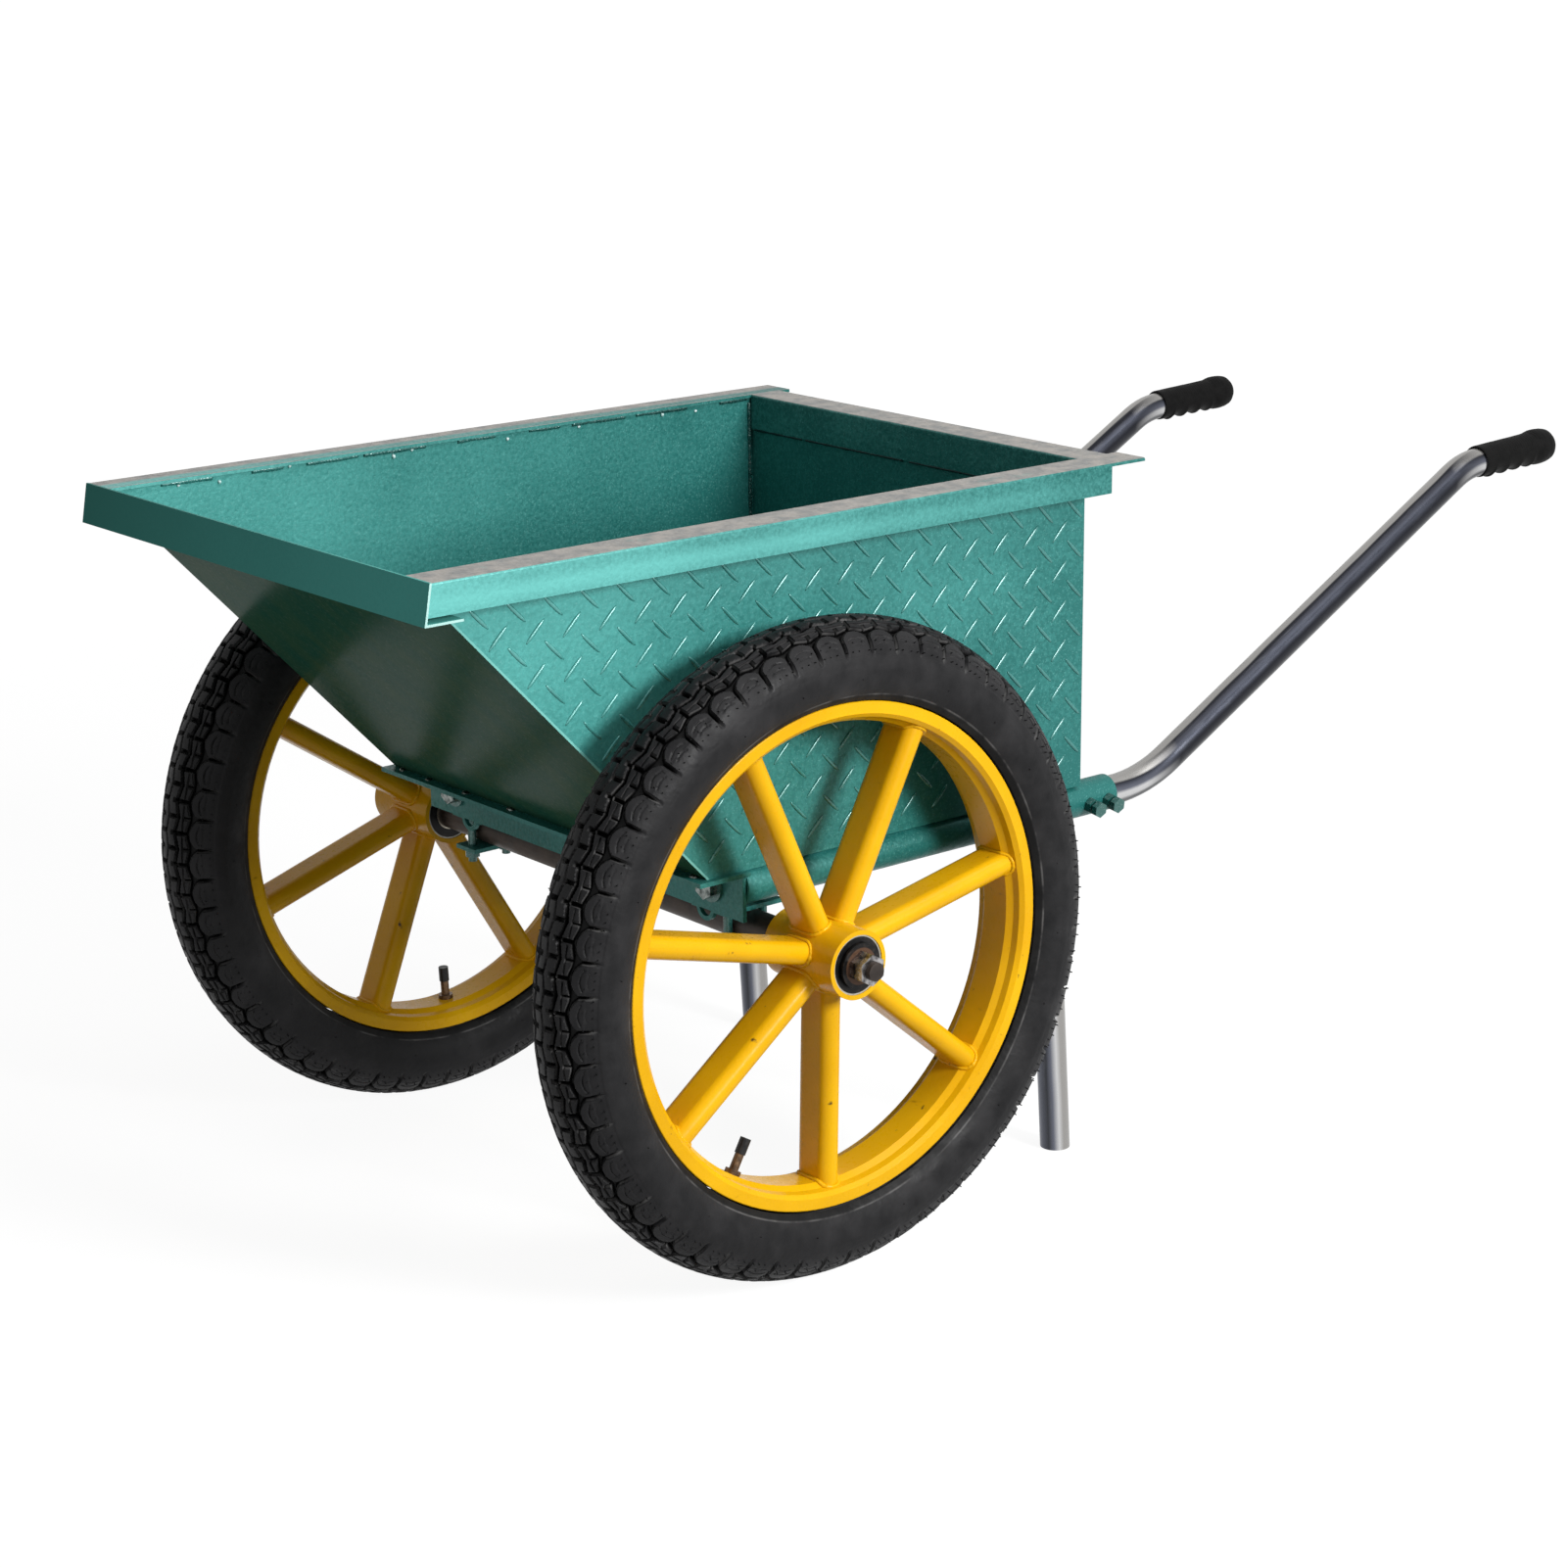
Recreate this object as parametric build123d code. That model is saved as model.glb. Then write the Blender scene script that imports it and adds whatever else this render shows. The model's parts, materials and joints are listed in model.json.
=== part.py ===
from build123d import *
import os
from math import asin, cos, radians, sin, sqrt, tan

# Two-wheeled tub barrow. All sizes are in millimetres.
# X runs forward towards the tipping lip, Y to the barrow's left, Z up from the ground.
# The pieces are drawn with the axle above X = 0 and moved to the middle of their box at the end.

# Wheel sizes
tyre_diameter = 576.0
tyre_width = 80.0
tyre_crown_wall = 11.5
tyre_side_wall = 8.0
tyre_foot_share = 0.7425
tread_groove_width = 4.5
tread_groove_depth = 4.5
tread_groove_offset = 8.0
shoulder_groove_offset = 21.0
lug_count = 44
lug_notch_width = 7.0
lug_notch_length = 17.0
rim_diameter = 440.0
rim_width = 58.0
rim_sheet = 3.0
rim_flange_height = 13.0
rim_well_depth = 3.0
rim_well_width = 28.0
rim_edge_radius = 1.3
tube_wall = 2.0
spoke_count = 7
spoke_width = 40.0
spoke_thick = 20.0
spoke_wall = 2.0
spoke_offset = 2.0
hub_diameter = 60.3
hub_length = 88.0
hub_offset = 5.5
left_wheel_turn = 62.8
right_wheel_turn = 95.0

# Valve sizes
valve_diameter = 8.0
valve_reach = 28.0
valve_turn = -2.0
valve_nut_diameter = 14.0
valve_nut_thick = 4.0
valve_cap_diameter = 9.6
valve_cap_length = 14.0

# Axle and bearing sizes
axle_diameter = 30.0
journal_diameter = 25.0
stud_diameter = 16.0
bearing_diameter = 52.0
bearing_width = 15.0
bearing_recess = 1.0
bearing_ring_wall = 4.0
seal_thick = 1.5
ball_diameter = 7.5
ball_count = 9
hub_shoulder = 3.0
end_collar_thick = 2.0
end_washer_diameter = 40.0
end_washer_thick = 2.5
end_nut_flats = 24.0
end_nut_thick = 15.0
stud_end = 5.0

# Tub sizes
tub_width = 470.0
sheet = 2.0
tyre_gap = 18.0
tyre_headroom = 51.0
floor_over_axle = 64.0
tub_rear = 360.0
slope_foot = 74.0
lip_front = 366.0
lip_length = 36.0
fascia_height = 34.0
fascia_lean = 6.0

# Top rail sizes
rail_overhang = 31.0
rail_flange = 36.0
rail_leg = 27.0
rail_thick = 3.0
rail_corner = 2.0
rail_tail = 44.0
rear_flange = 36.0
rear_leg = 34.0

# Frame sizes
cross_face = 36.0
cross_ledge = 50.0
cross_drop = 46.0
cross_thick = 4.0
cross_overrun = 6.0
socket_wall = 2.6
socket_inset = 13.0
socket_tail = 44.0
saddle_inset = 40.0
saddle_width = 46.0
saddle_thick = 4.0
saddle_tail = 32.0
tongue_diameter = 24.0
tongue_hole = 16.0
tongue_inset = 4.0
tongue_rise = 2.5
clamp_spread = 11.0
clamp_rod = 8.0
clamp_bolt = 12.0
clamp_bolt_flats = 20.0
clamp_bolt_head = 7.5
clamp_bolt_rise = 2.5
clamp_nut_thick = 10.0
clamp_washer_diameter = 30.0
clamp_washer_thick = 2.5
strap_width = 30.0
strap_thick = 4.0

# Handle, grip and leg sizes
handle_diameter = 28.0
handle_wall = 2.0
handle_insert = 170.0
handle_lead = 49.0
handle_angle = 28.64
handle_run = 444.0
handle_low_bend = 150.0
handle_high_bend = 80.0
grip_tilt = 2.5
grip_length = 110.0
grip_wall = 2.2
grip_end_swell = 1.4
grip_cap = 6.0
finger_count = 4
finger_depth = 1.3
finger_reach = 5.0
leg_diameter = 28.0
leg_wall = 2.0
leg_x = 325.0
leg_lean = 3.7
leg_socket_length = 68.0

# Set bolt sizes
set_bolt = 8.0
set_bolt_flats = 13.0
set_bolt_head = 5.5
set_nut_thick = 6.5
set_bolt_show = 3.0
set_bolt_first = 12.0
set_bolt_pitch = 23.0
set_bolt_dip = 8.0

# Clearances
weld_gap = 0.1
slip_fit = 0.2
running_fit = 0.05
ball_fit = 0.15
bolt_fit = 0.15

# Derived positions
axle_z = tyre_diameter / 2
wheel_y = tub_width / 2 + tyre_gap + tyre_width / 2
floor_z = axle_z + floor_over_axle
top_z = tyre_diameter + tyre_headroom + rail_leg
lip_z = top_z - fascia_height
panel_y = tub_width / 2
inner_y = panel_y - sheet
rail_y = panel_y + rail_overhang
lip_rear = lip_front - lip_length
slope_rise = lip_z - floor_z
slope_run = lip_rear - slope_foot
slope_sine = slope_rise / sqrt(slope_rise**2 + slope_run**2)
slope_shift = sheet / slope_sine
socket_bore = handle_diameter + 2 * slip_fit
socket_diameter = socket_bore + 2 * socket_wall
socket_y = panel_y - socket_inset
socket_z = floor_z - weld_gap - socket_diameter / 2
socket_end = -tub_rear - socket_tail
socket_front = cross_face - cross_thick - weld_gap
rim_radius = rim_diameter / 2
seat_radius = rim_radius - rim_flange_height
well_radius = seat_radius - rim_well_depth
hub_radius = hub_diameter / 2
hub_y = wheel_y + hub_offset
hub_out = hub_y + hub_length / 2
hub_in = hub_y - hub_length / 2
bearing_out = hub_out - bearing_recess
bearing_in = hub_in + bearing_recess


def side_plate(points, y0, y1):
    """A flat outline in the XZ plane, given as (x, z) points, made solid from y0 to y1."""
    face = make_face(Polyline(*[(x, 0, z) for x, z in points], close=True))
    return Pos(0, y0, 0) * extrude(face, amount=y1 - y0, dir=(0, 1, 0))


def turned(points):
    """A solid of revolution about the Y axis, from (radius, along) points."""
    return revolve(make_face(Polyline(*points, close=True)), axis=Axis.Y)


def rod(diameter, start, end):
    """A round bar between two points."""
    start = Vector(*start)
    end = Vector(*end)
    along = end - start
    plane = Plane(origin=start, z_dir=along)
    return extrude(plane * Circle(diameter / 2), amount=along.length)


def hex_block(flats, start, end):
    """A six-sided bar between two points, measured across its flats."""
    start = Vector(*start)
    end = Vector(*end)
    along = end - start
    plane = Plane(origin=start, z_dir=along)
    return extrude(plane * RegularPolygon(flats / 2, 6, major_radius=False), amount=along.length)


def tube(outer, inner, start, end):
    """A plain tube between two points."""
    return rod(outer, start, end) - rod(inner, start, end)


def flip(shape):
    """The matching piece on the barrow's right."""
    return mirror(shape, about=Plane.XZ)


def group(shapes):
    """Several separate solids that make one node."""
    solids = []
    for shape in shapes:
        solids.extend(shape.solids())
    return Compound(solids)


nodes = {}

# Tub sheets
panel_points = [
    (-tub_rear, floor_z),
    (slope_foot - slope_shift, floor_z),
    (lip_rear - slope_shift, lip_z),
    (lip_rear - slope_shift, lip_z + sheet),
    (lip_front - sheet - fascia_lean, lip_z + sheet),
    (lip_front - sheet - fascia_lean, top_z - rail_thick),
    (-tub_rear, top_z - rail_thick),
]
nodes["side_panel_left"] = side_plate(panel_points, inner_y, panel_y)
nodes["side_panel_right"] = flip(nodes["side_panel_left"])

slope_points = [
    (slope_foot, floor_z),
    (lip_rear, lip_z),
    (lip_rear, lip_z + sheet),
    (lip_rear - slope_shift, lip_z + sheet),
    (lip_rear - slope_shift, lip_z),
    (slope_foot - slope_shift, floor_z),
]
lip_points = [
    (lip_rear, lip_z),
    (lip_front, lip_z),
    (lip_front - fascia_lean, top_z),
    (lip_front - fascia_lean - sheet, top_z),
    (lip_front - fascia_lean * sheet / fascia_height - sheet, lip_z + sheet),
    (lip_rear, lip_z + sheet),
]
slope_sheet = side_plate(slope_points, -panel_y, panel_y)
lip_sheet = side_plate(lip_points, -rail_y, rail_y)
nodes["front_panel"] = slope_sheet + lip_sheet

floor_front = slope_foot - slope_shift
floor_points = [
    (-tub_rear + sheet, floor_z),
    (floor_front, floor_z),
    (floor_front + sheet * slope_run / slope_rise, floor_z + sheet),
    (-tub_rear + sheet, floor_z + sheet),
]
nodes["floor_panel"] = side_plate(floor_points, -inner_y, inner_y)
rear_points = [
    (-tub_rear, floor_z),
    (-tub_rear + sheet, floor_z),
    (-tub_rear + sheet, top_z - rail_thick),
    (-tub_rear, top_z - rail_thick),
]
nodes["rear_panel"] = side_plate(rear_points, -inner_y, inner_y)

# Top rails, cut at the front to the lean of the fascia
fascia_back = [
    (lip_front - fascia_lean - sheet, top_z),
    (lip_front - sheet - fascia_lean * sheet / fascia_height, lip_z + sheet),
    (lip_front + rail_tail, lip_z + sheet),
    (lip_front + rail_tail, top_z),
]
beyond_fascia = side_plate(fascia_back, -2 * rail_y, 2 * rail_y)
top_flange = side_plate(
    [
        (-tub_rear - rail_tail, top_z - rail_thick),
        (lip_front, top_z - rail_thick),
        (lip_front, top_z),
        (-tub_rear - rail_tail, top_z),
    ],
    rail_y - rail_flange,
    rail_y,
)
outer_leg = side_plate(
    [
        (-tub_rear - rail_thick, top_z - rail_leg),
        (lip_front, top_z - rail_leg),
        (lip_front, top_z - rail_thick),
        (-tub_rear - rail_thick, top_z - rail_thick),
    ],
    rail_y - rail_thick,
    rail_y,
)
rail = top_flange + outer_leg
rail_edges = rail.edges().filter_by(Axis.X)
rail_ridge = max(rail_edges, key=lambda edge: edge.center().Y + edge.center().Z)
nodes["top_rail_left"] = fillet(rail_ridge, rail_corner) - beyond_fascia
nodes["top_rail_right"] = flip(nodes["top_rail_left"])

rear_face = -tub_rear + sheet
rear_angle_points = [
    (rear_face, top_z - rear_leg),
    (rear_face + rail_thick, top_z - rear_leg),
    (rear_face + rail_thick, top_z),
    (rear_face + rail_thick - rear_flange, top_z),
    (rear_face + rail_thick - rear_flange, top_z - rail_thick),
    (rear_face, top_z - rail_thick),
]
rear_angle_y = rail_y - rail_flange
rear_angle = side_plate(rear_angle_points, -rear_angle_y, rear_angle_y)
rear_edges = rear_angle.edges().filter_by(Axis.Y)
rear_ridge = max(rear_edges, key=lambda edge: edge.center().X + edge.center().Z)
nodes["rear_top_angle"] = fillet(rear_ridge, rail_corner)

# Handle sockets, welded along the underside of the floor
socket_line = tube(
    socket_diameter,
    socket_bore,
    (socket_front, socket_y, socket_z),
    (socket_end, socket_y, socket_z),
)
bolt_out = Vector(0, cos(radians(set_bolt_dip)), -sin(radians(set_bolt_dip)))
set_bolt_spots = []
for step in range(2):
    bolt_x = socket_end + set_bolt_first + step * set_bolt_pitch
    set_bolt_spots.append(Vector(bolt_x, socket_y, socket_z))
socket_nuts = []
socket_bolts = []
for spot in set_bolt_spots:
    nut_foot = spot + bolt_out * (socket_diameter / 2 + weld_gap)
    nut_top = nut_foot + bolt_out * set_nut_thick
    head_foot = nut_top + bolt_out * set_bolt_show
    head_top = head_foot + bolt_out * set_bolt_head
    tip = spot + bolt_out * (handle_diameter / 2 + running_fit)
    hole = rod(set_bolt + 2 * bolt_fit, spot, nut_top)
    socket_line = socket_line - hole
    socket_nuts.append(hex_block(set_bolt_flats, nut_foot, nut_top) - hole)
    socket_bolts.append(rod(set_bolt, tip, head_foot) + hex_block(set_bolt_flats, head_foot, head_top))
nodes["handle_socket_left"] = socket_line
nodes["handle_socket_right"] = flip(socket_line)

# Front cross angle: a ledge under the front edge of the floor, and a leg before the sockets
ledge = side_plate(
    [
        (cross_face - cross_thick, floor_z - cross_thick),
        (cross_face + cross_ledge, floor_z - cross_thick),
        (cross_face + cross_ledge, floor_z),
        (cross_face - cross_thick, floor_z),
    ],
    -panel_y - cross_overrun,
    panel_y + cross_overrun,
)
cross_leg = side_plate(
    [
        (cross_face - cross_thick, floor_z - cross_drop),
        (cross_face, floor_z - cross_drop),
        (cross_face, floor_z - cross_thick),
        (cross_face - cross_thick, floor_z - cross_thick),
    ],
    -panel_y,
    panel_y,
)
cross_angle = ledge + cross_leg

# Axle saddles, bolted to the back of the cross angle and clamped down on the axle,
# each with a drilled round tongue that shows below the cross angle
axle_top = axle_z + axle_diameter / 2
saddle_back = cross_face - cross_thick
saddle_y = socket_y - saddle_inset
saddle_points = [
    (-saddle_tail, axle_top),
    (saddle_back, axle_top),
    (saddle_back, floor_z - cross_thick),
    (saddle_back - saddle_thick, floor_z - cross_thick),
    (saddle_back - saddle_thick, axle_top + saddle_thick),
    (-saddle_tail, axle_top + saddle_thick),
]
saddle = side_plate(saddle_points, saddle_y - saddle_width / 2, saddle_y + saddle_width / 2)
tongue_front = Vector(saddle_back, saddle_y - tongue_inset, axle_top + tongue_rise)
tongue_back = tongue_front - Vector(saddle_thick, 0, 0)
saddle = saddle + rod(tongue_diameter, tongue_back, tongue_front) - rod(tongue_hole, tongue_back, tongue_front)
clamp_y = saddle_y + clamp_spread
clamp_x = axle_diameter / 2 + clamp_rod / 2 + bolt_fit
axle_bottom = axle_z - axle_diameter / 2
strap_bottom = axle_bottom - strap_thick
strap_half = clamp_x + clamp_rod
strap = side_plate(
    [
        (-strap_half, strap_bottom),
        (strap_half, strap_bottom),
        (strap_half, axle_bottom),
        (-strap_half, axle_bottom),
    ],
    clamp_y - strap_width / 2,
    clamp_y + strap_width / 2,
)
rod_flats = 1.6 * clamp_rod
rod_nut_thick = 0.8 * clamp_rod
rod_foot_z = axle_top + saddle_thick
rod_head_z = rod_foot_z + 0.65 * clamp_rod
rod_nut_z = strap_bottom - rod_nut_thick
rod_end_z = rod_nut_z - 0.6 * clamp_rod
strap_bolts = []
strap_nuts = []
for x in (clamp_x, -clamp_x):
    rod_hole = rod(clamp_rod + 2 * bolt_fit, (x, clamp_y, rod_end_z), (x, clamp_y, rod_foot_z))
    saddle = saddle - rod_hole
    strap = strap - rod_hole
    strap_head = hex_block(rod_flats, (x, clamp_y, rod_foot_z), (x, clamp_y, rod_head_z))
    strap_bolts.append(strap_head + rod(clamp_rod, (x, clamp_y, rod_foot_z), (x, clamp_y, rod_end_z)))
    strap_nut = hex_block(rod_flats, (x, clamp_y, strap_bottom), (x, clamp_y, rod_nut_z))
    strap_nuts.append(strap_nut - rod_hole)

bolt_y = saddle_y + clamp_spread
bolt_z = (axle_top + saddle_thick + floor_z - cross_thick) / 2 + clamp_bolt_rise
washer_front = cross_face + clamp_washer_thick
head_front = washer_front + clamp_bolt_head
nut_front = saddle_back - saddle_thick
nut_back = nut_front - clamp_nut_thick
bolt_end = nut_back - clamp_bolt / 3
bolt_hole = rod(clamp_bolt + 2 * bolt_fit, (head_front, bolt_y, bolt_z), (bolt_end, bolt_y, bolt_z))
saddle_bolt = hex_block(
    clamp_bolt_flats, (washer_front, bolt_y, bolt_z), (head_front, bolt_y, bolt_z)
) + rod(clamp_bolt, (washer_front, bolt_y, bolt_z), (bolt_end, bolt_y, bolt_z))
saddle_washer = (
    rod(clamp_washer_diameter, (cross_face, bolt_y, bolt_z), (washer_front, bolt_y, bolt_z)) - bolt_hole
)
saddle_nut = hex_block(clamp_bolt_flats, (nut_back, bolt_y, bolt_z), (nut_front, bolt_y, bolt_z)) - bolt_hole
saddle = saddle - bolt_hole
cross_angle = cross_angle - bolt_hole - flip(bolt_hole)
nodes["front_cross_angle"] = cross_angle
nodes["axle_saddle_left"] = saddle
nodes["axle_saddle_right"] = flip(saddle)
nodes["axle_straps"] = group([strap, flip(strap)])
nodes["strap_bolts"] = group(strap_bolts + [flip(bolt) for bolt in strap_bolts])
nodes["strap_nuts"] = group(strap_nuts + [flip(nut) for nut in strap_nuts])
nodes["saddle_bolts"] = group([saddle_bolt, flip(saddle_bolt)])
nodes["saddle_washers"] = group([saddle_washer, flip(saddle_washer)])
nodes["saddle_nuts"] = group([saddle_nut, flip(saddle_nut)])

# Handles, pushed into the sockets and held by the set bolts
bend_low = Vector(socket_end - handle_lead, 0, socket_z)
bend_high = bend_low + Vector(-handle_run, 0, handle_run * tan(radians(handle_angle)))
grip_along = Vector(-cos(radians(grip_tilt)), 0, sin(radians(grip_tilt)))
grip_start = bend_high + grip_along * (handle_high_bend * tan(radians(handle_angle - grip_tilt) / 2))
handle_tip = grip_start + grip_along * (grip_length - grip_cap)
handle_root = Vector(socket_end + handle_insert, 0, socket_z)
handle_path = FilletPolyline(
    handle_root,
    bend_low,
    bend_high,
    handle_tip,
    radius=[handle_low_bend, handle_high_bend],
)
handle_ring = Circle(handle_diameter / 2) - Circle(handle_diameter / 2 - handle_wall)
handle_section = Plane(origin=handle_root, z_dir=(-1, 0, 0)) * handle_ring
handle = Pos(0, socket_y, 0) * sweep(handle_section, path=handle_path)
nodes["handle_left"] = handle
nodes["handle_right"] = flip(handle)
nodes["handle_socket_nuts"] = group(socket_nuts + [flip(nut) for nut in socket_nuts])
nodes["handle_set_bolts"] = group(socket_bolts + [flip(bolt) for bolt in socket_bolts])

# Grips: sleeves with a swollen closed end and finger hollows beneath
grip_radius = handle_diameter / 2 + slip_fit + grip_wall
swell_radius = grip_radius + grip_end_swell
grip_profile = make_face(
    Polyline(
        (0, 0),
        (0, grip_radius),
        (0.1 * grip_length, grip_radius),
        (0.72 * grip_length, grip_radius),
        (0.84 * grip_length, swell_radius),
        (0.95 * grip_length, swell_radius),
        (grip_length, 0.72 * swell_radius),
        (grip_length, 0),
        close=True,
    )
)
grip = revolve(grip_profile, axis=Axis.X)
grip = grip - rod(
    handle_diameter + 2 * slip_fit,
    (-grip_cap, 0, 0),
    (grip_length - grip_cap + slip_fit, 0, 0),
)
finger_pitch = 0.62 * grip_length / finger_count
finger_chord = 0.86 * finger_pitch
finger_radius = (finger_chord**2 / 4 + finger_depth**2) / (2 * finger_depth)
for step in range(finger_count):
    finger_x = 0.14 * grip_length + (step + 0.5) * finger_pitch
    finger_z = grip_radius + finger_radius - finger_depth
    grip = grip - rod(
        2 * finger_radius,
        (finger_x, -grip_radius - finger_reach, finger_z),
        (finger_x, grip_radius + finger_reach, finger_z),
    )
grip = Pos(grip_start.X, socket_y, grip_start.Z) * Rot(0, 180 + grip_tilt, 0) * grip
nodes["grip_left"] = grip
nodes["grip_right"] = flip(grip)

# Legs, standing in short sockets under the handle sockets
leg_down = Vector(-sin(radians(leg_lean)), 0, -cos(radians(leg_lean)))
leg_top = Vector(-leg_x, socket_y, socket_z)
leg_foot = leg_top + leg_down * ((socket_z + leg_diameter) / cos(radians(leg_lean)))
leg_bore = leg_diameter + 2 * slip_fit
leg_socket_diameter = leg_bore + 2 * socket_wall
leg_socket_end = leg_top + leg_down * (socket_diameter / 2 + leg_socket_length)
leg_socket = tube(leg_socket_diameter, leg_bore, leg_top, leg_socket_end)
socket_room = rod(
    socket_diameter + 2 * weld_gap,
    (socket_front, socket_y, socket_z),
    (socket_end, socket_y, socket_z),
)
leg_socket = leg_socket - socket_room
leg_socket = max(leg_socket.solids(), key=lambda solid: solid.volume)
ground = Pos(0, 0, -tyre_diameter / 2) * Box(4 * tub_rear, 2 * tub_width, tyre_diameter)
leg = tube(leg_diameter, leg_diameter - 2 * leg_wall, leg_top, leg_foot) - socket_room - ground
leg = max(leg.solids(), key=lambda solid: solid.volume)
leg_bolt_out = Vector(-cos(radians(leg_lean)), 0, sin(radians(leg_lean)))
leg_bolt_spot = leg_top + leg_down * (socket_diameter / 2 + 0.62 * leg_socket_length)
leg_nut_foot = leg_bolt_spot + leg_bolt_out * (leg_socket_diameter / 2 + weld_gap)
leg_nut_top = leg_nut_foot + leg_bolt_out * set_nut_thick
leg_head_foot = leg_nut_top + leg_bolt_out * set_bolt_show
leg_head_top = leg_head_foot + leg_bolt_out * set_bolt_head
leg_tip = leg_bolt_spot + leg_bolt_out * (leg_diameter / 2 + running_fit)
leg_hole = rod(set_bolt + 2 * bolt_fit, leg_bolt_spot, leg_nut_top)
leg_socket = leg_socket - leg_hole
leg_nut = hex_block(set_bolt_flats, leg_nut_foot, leg_nut_top) - leg_hole
leg_bolt = rod(set_bolt, leg_tip, leg_head_foot) + hex_block(set_bolt_flats, leg_head_foot, leg_head_top)
nodes["leg_socket_left"] = leg_socket
nodes["leg_socket_right"] = flip(leg_socket)
nodes["leg_left"] = leg
nodes["leg_right"] = flip(leg)
nodes["leg_socket_nuts"] = group([leg_nut, flip(leg_nut)])
nodes["leg_set_bolts"] = group([leg_bolt, flip(leg_bolt)])

# Axle, turned down at both ends for the bearings and the end nuts
stud_tip = bearing_out + end_collar_thick + end_washer_thick + end_nut_thick + stud_end
axle_profile = [
    (0, -stud_tip),
    (stud_diameter / 2, -stud_tip),
    (stud_diameter / 2, -bearing_out),
    (journal_diameter / 2, -bearing_out),
    (journal_diameter / 2, -bearing_in),
    (axle_diameter / 2, -bearing_in),
    (axle_diameter / 2, bearing_in),
    (journal_diameter / 2, bearing_in),
    (journal_diameter / 2, bearing_out),
    (stud_diameter / 2, bearing_out),
    (stud_diameter / 2, stud_tip),
    (0, stud_tip),
]
nodes["axle"] = Pos(0, 0, axle_z) * turned(axle_profile)

# Bearings: inner rings stay on the axle, outer rings, balls and seals turn with the hub
inner_ring_bore = journal_diameter / 2 + running_fit
inner_ring_radius = journal_diameter / 2 + bearing_ring_wall
outer_ring_radius = bearing_diameter / 2 - bearing_ring_wall
far_bearing = bearing_out - bearing_width
near_bearing = bearing_in + bearing_width


def band(inner, outer, y0, y1):
    """A flat-sided ring round the axle, between two places along it."""
    ring = turned([(inner, y0), (outer, y0), (outer, y1), (inner, y1)])
    return Pos(0, 0, axle_z) * ring


def ball_track(y0):
    """The round groove that the balls of one bearing run in."""
    ring = Torus((inner_ring_radius + outer_ring_radius) / 2, ball_diameter / 2 + ball_fit)
    return Pos(0, y0 + bearing_width / 2, axle_z) * Rot(90, 0, 0) * ring


def ball_set(y0):
    """The balls of one bearing, evenly spaced round the axle."""
    balls = []
    for step in range(ball_count):
        ball = Pos((inner_ring_radius + outer_ring_radius) / 2, 0, 0) * Sphere(ball_diameter / 2)
        balls.append(Pos(0, y0 + bearing_width / 2, axle_z) * Rot(0, step * 360 / ball_count, 0) * ball)
    return balls


tracks = [ball_track(bearing_in), ball_track(far_bearing)]
balls = ball_set(bearing_in) + ball_set(far_bearing)
inner_rings = [
    band(inner_ring_bore, inner_ring_radius, bearing_in, near_bearing) - tracks[0],
    band(inner_ring_bore, inner_ring_radius, far_bearing, bearing_out) - tracks[1],
]
spacer = band(inner_ring_bore, inner_ring_radius, near_bearing, far_bearing)
outer_rings = [
    band(outer_ring_radius, bearing_diameter / 2, bearing_in, near_bearing) - tracks[0],
    band(outer_ring_radius, bearing_diameter / 2, far_bearing, bearing_out) - tracks[1],
]
seal_inner = inner_ring_radius + 2 * running_fit
seals = []
for y0 in (bearing_in, near_bearing - seal_thick, far_bearing, bearing_out - seal_thick):
    seals.append(band(seal_inner, outer_ring_radius, y0, y0 + seal_thick))
end_collar = band(stud_diameter / 2 + bolt_fit, inner_ring_radius, bearing_out, bearing_out + end_collar_thick)
washer_in = bearing_out + end_collar_thick
end_washer = band(
    stud_diameter / 2 + bolt_fit, end_washer_diameter / 2, washer_in, washer_in + end_washer_thick
)
nut_in = washer_in + end_washer_thick
end_nut = hex_block(end_nut_flats, (0, nut_in, axle_z), (0, nut_in + end_nut_thick, axle_z))
end_nut = end_nut - rod(
    stud_diameter + 2 * bolt_fit,
    (0, nut_in, axle_z),
    (0, nut_in + end_nut_thick, axle_z),
)
nodes["bearing_inner_rings"] = group(inner_rings + [flip(ring) for ring in inner_rings])
nodes["bearing_spacers"] = group([spacer, flip(spacer)])
nodes["axle_end_collars"] = group([end_collar, flip(end_collar)])
nodes["axle_end_washers"] = group([end_washer, flip(end_washer)])
nodes["axle_end_nuts"] = group([end_nut, flip(end_nut)])

# Wheel rim: rolled flanges, bead seats and a dropped well
half_rim = rim_width / 2
half_well = rim_well_width / 2
rim_hub_side = [
    (well_radius - rim_sheet, half_well),
    (seat_radius - 0.75 * rim_sheet, 0.67 * half_rim),
    (seat_radius - 0.35 * rim_sheet, 0.88 * half_rim),
    (seat_radius + 0.85 * rim_sheet, half_rim),
    (rim_radius, half_rim),
]
rim_tyre_side = [
    (rim_radius, half_rim - rim_sheet),
    (seat_radius + 1.5 * rim_sheet, half_rim - rim_sheet),
    (seat_radius + 0.6 * rim_sheet, half_rim - 1.9 * rim_sheet),
    (seat_radius + 0.25 * rim_sheet, 0.62 * half_rim),
    (well_radius, half_well - 0.5 * rim_sheet),
]
rim_other = [(radius, -along) for radius, along in reversed(rim_hub_side)]
rim_other_inner = [(radius, -along) for radius, along in reversed(rim_tyre_side)]
rim = turned(rim_hub_side + rim_tyre_side + rim_other_inner + rim_other)
lip_edges = [edge for edge in rim.edges().filter_by(GeomType.CIRCLE) if edge.radius > rim_radius - slip_fit]
rim = fillet(lip_edges, rim_edge_radius)
valve_hole = rod(valve_diameter + 4 * bolt_fit, (0.5 * well_radius, 0, 0), (rim_radius, 0, 0))
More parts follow.
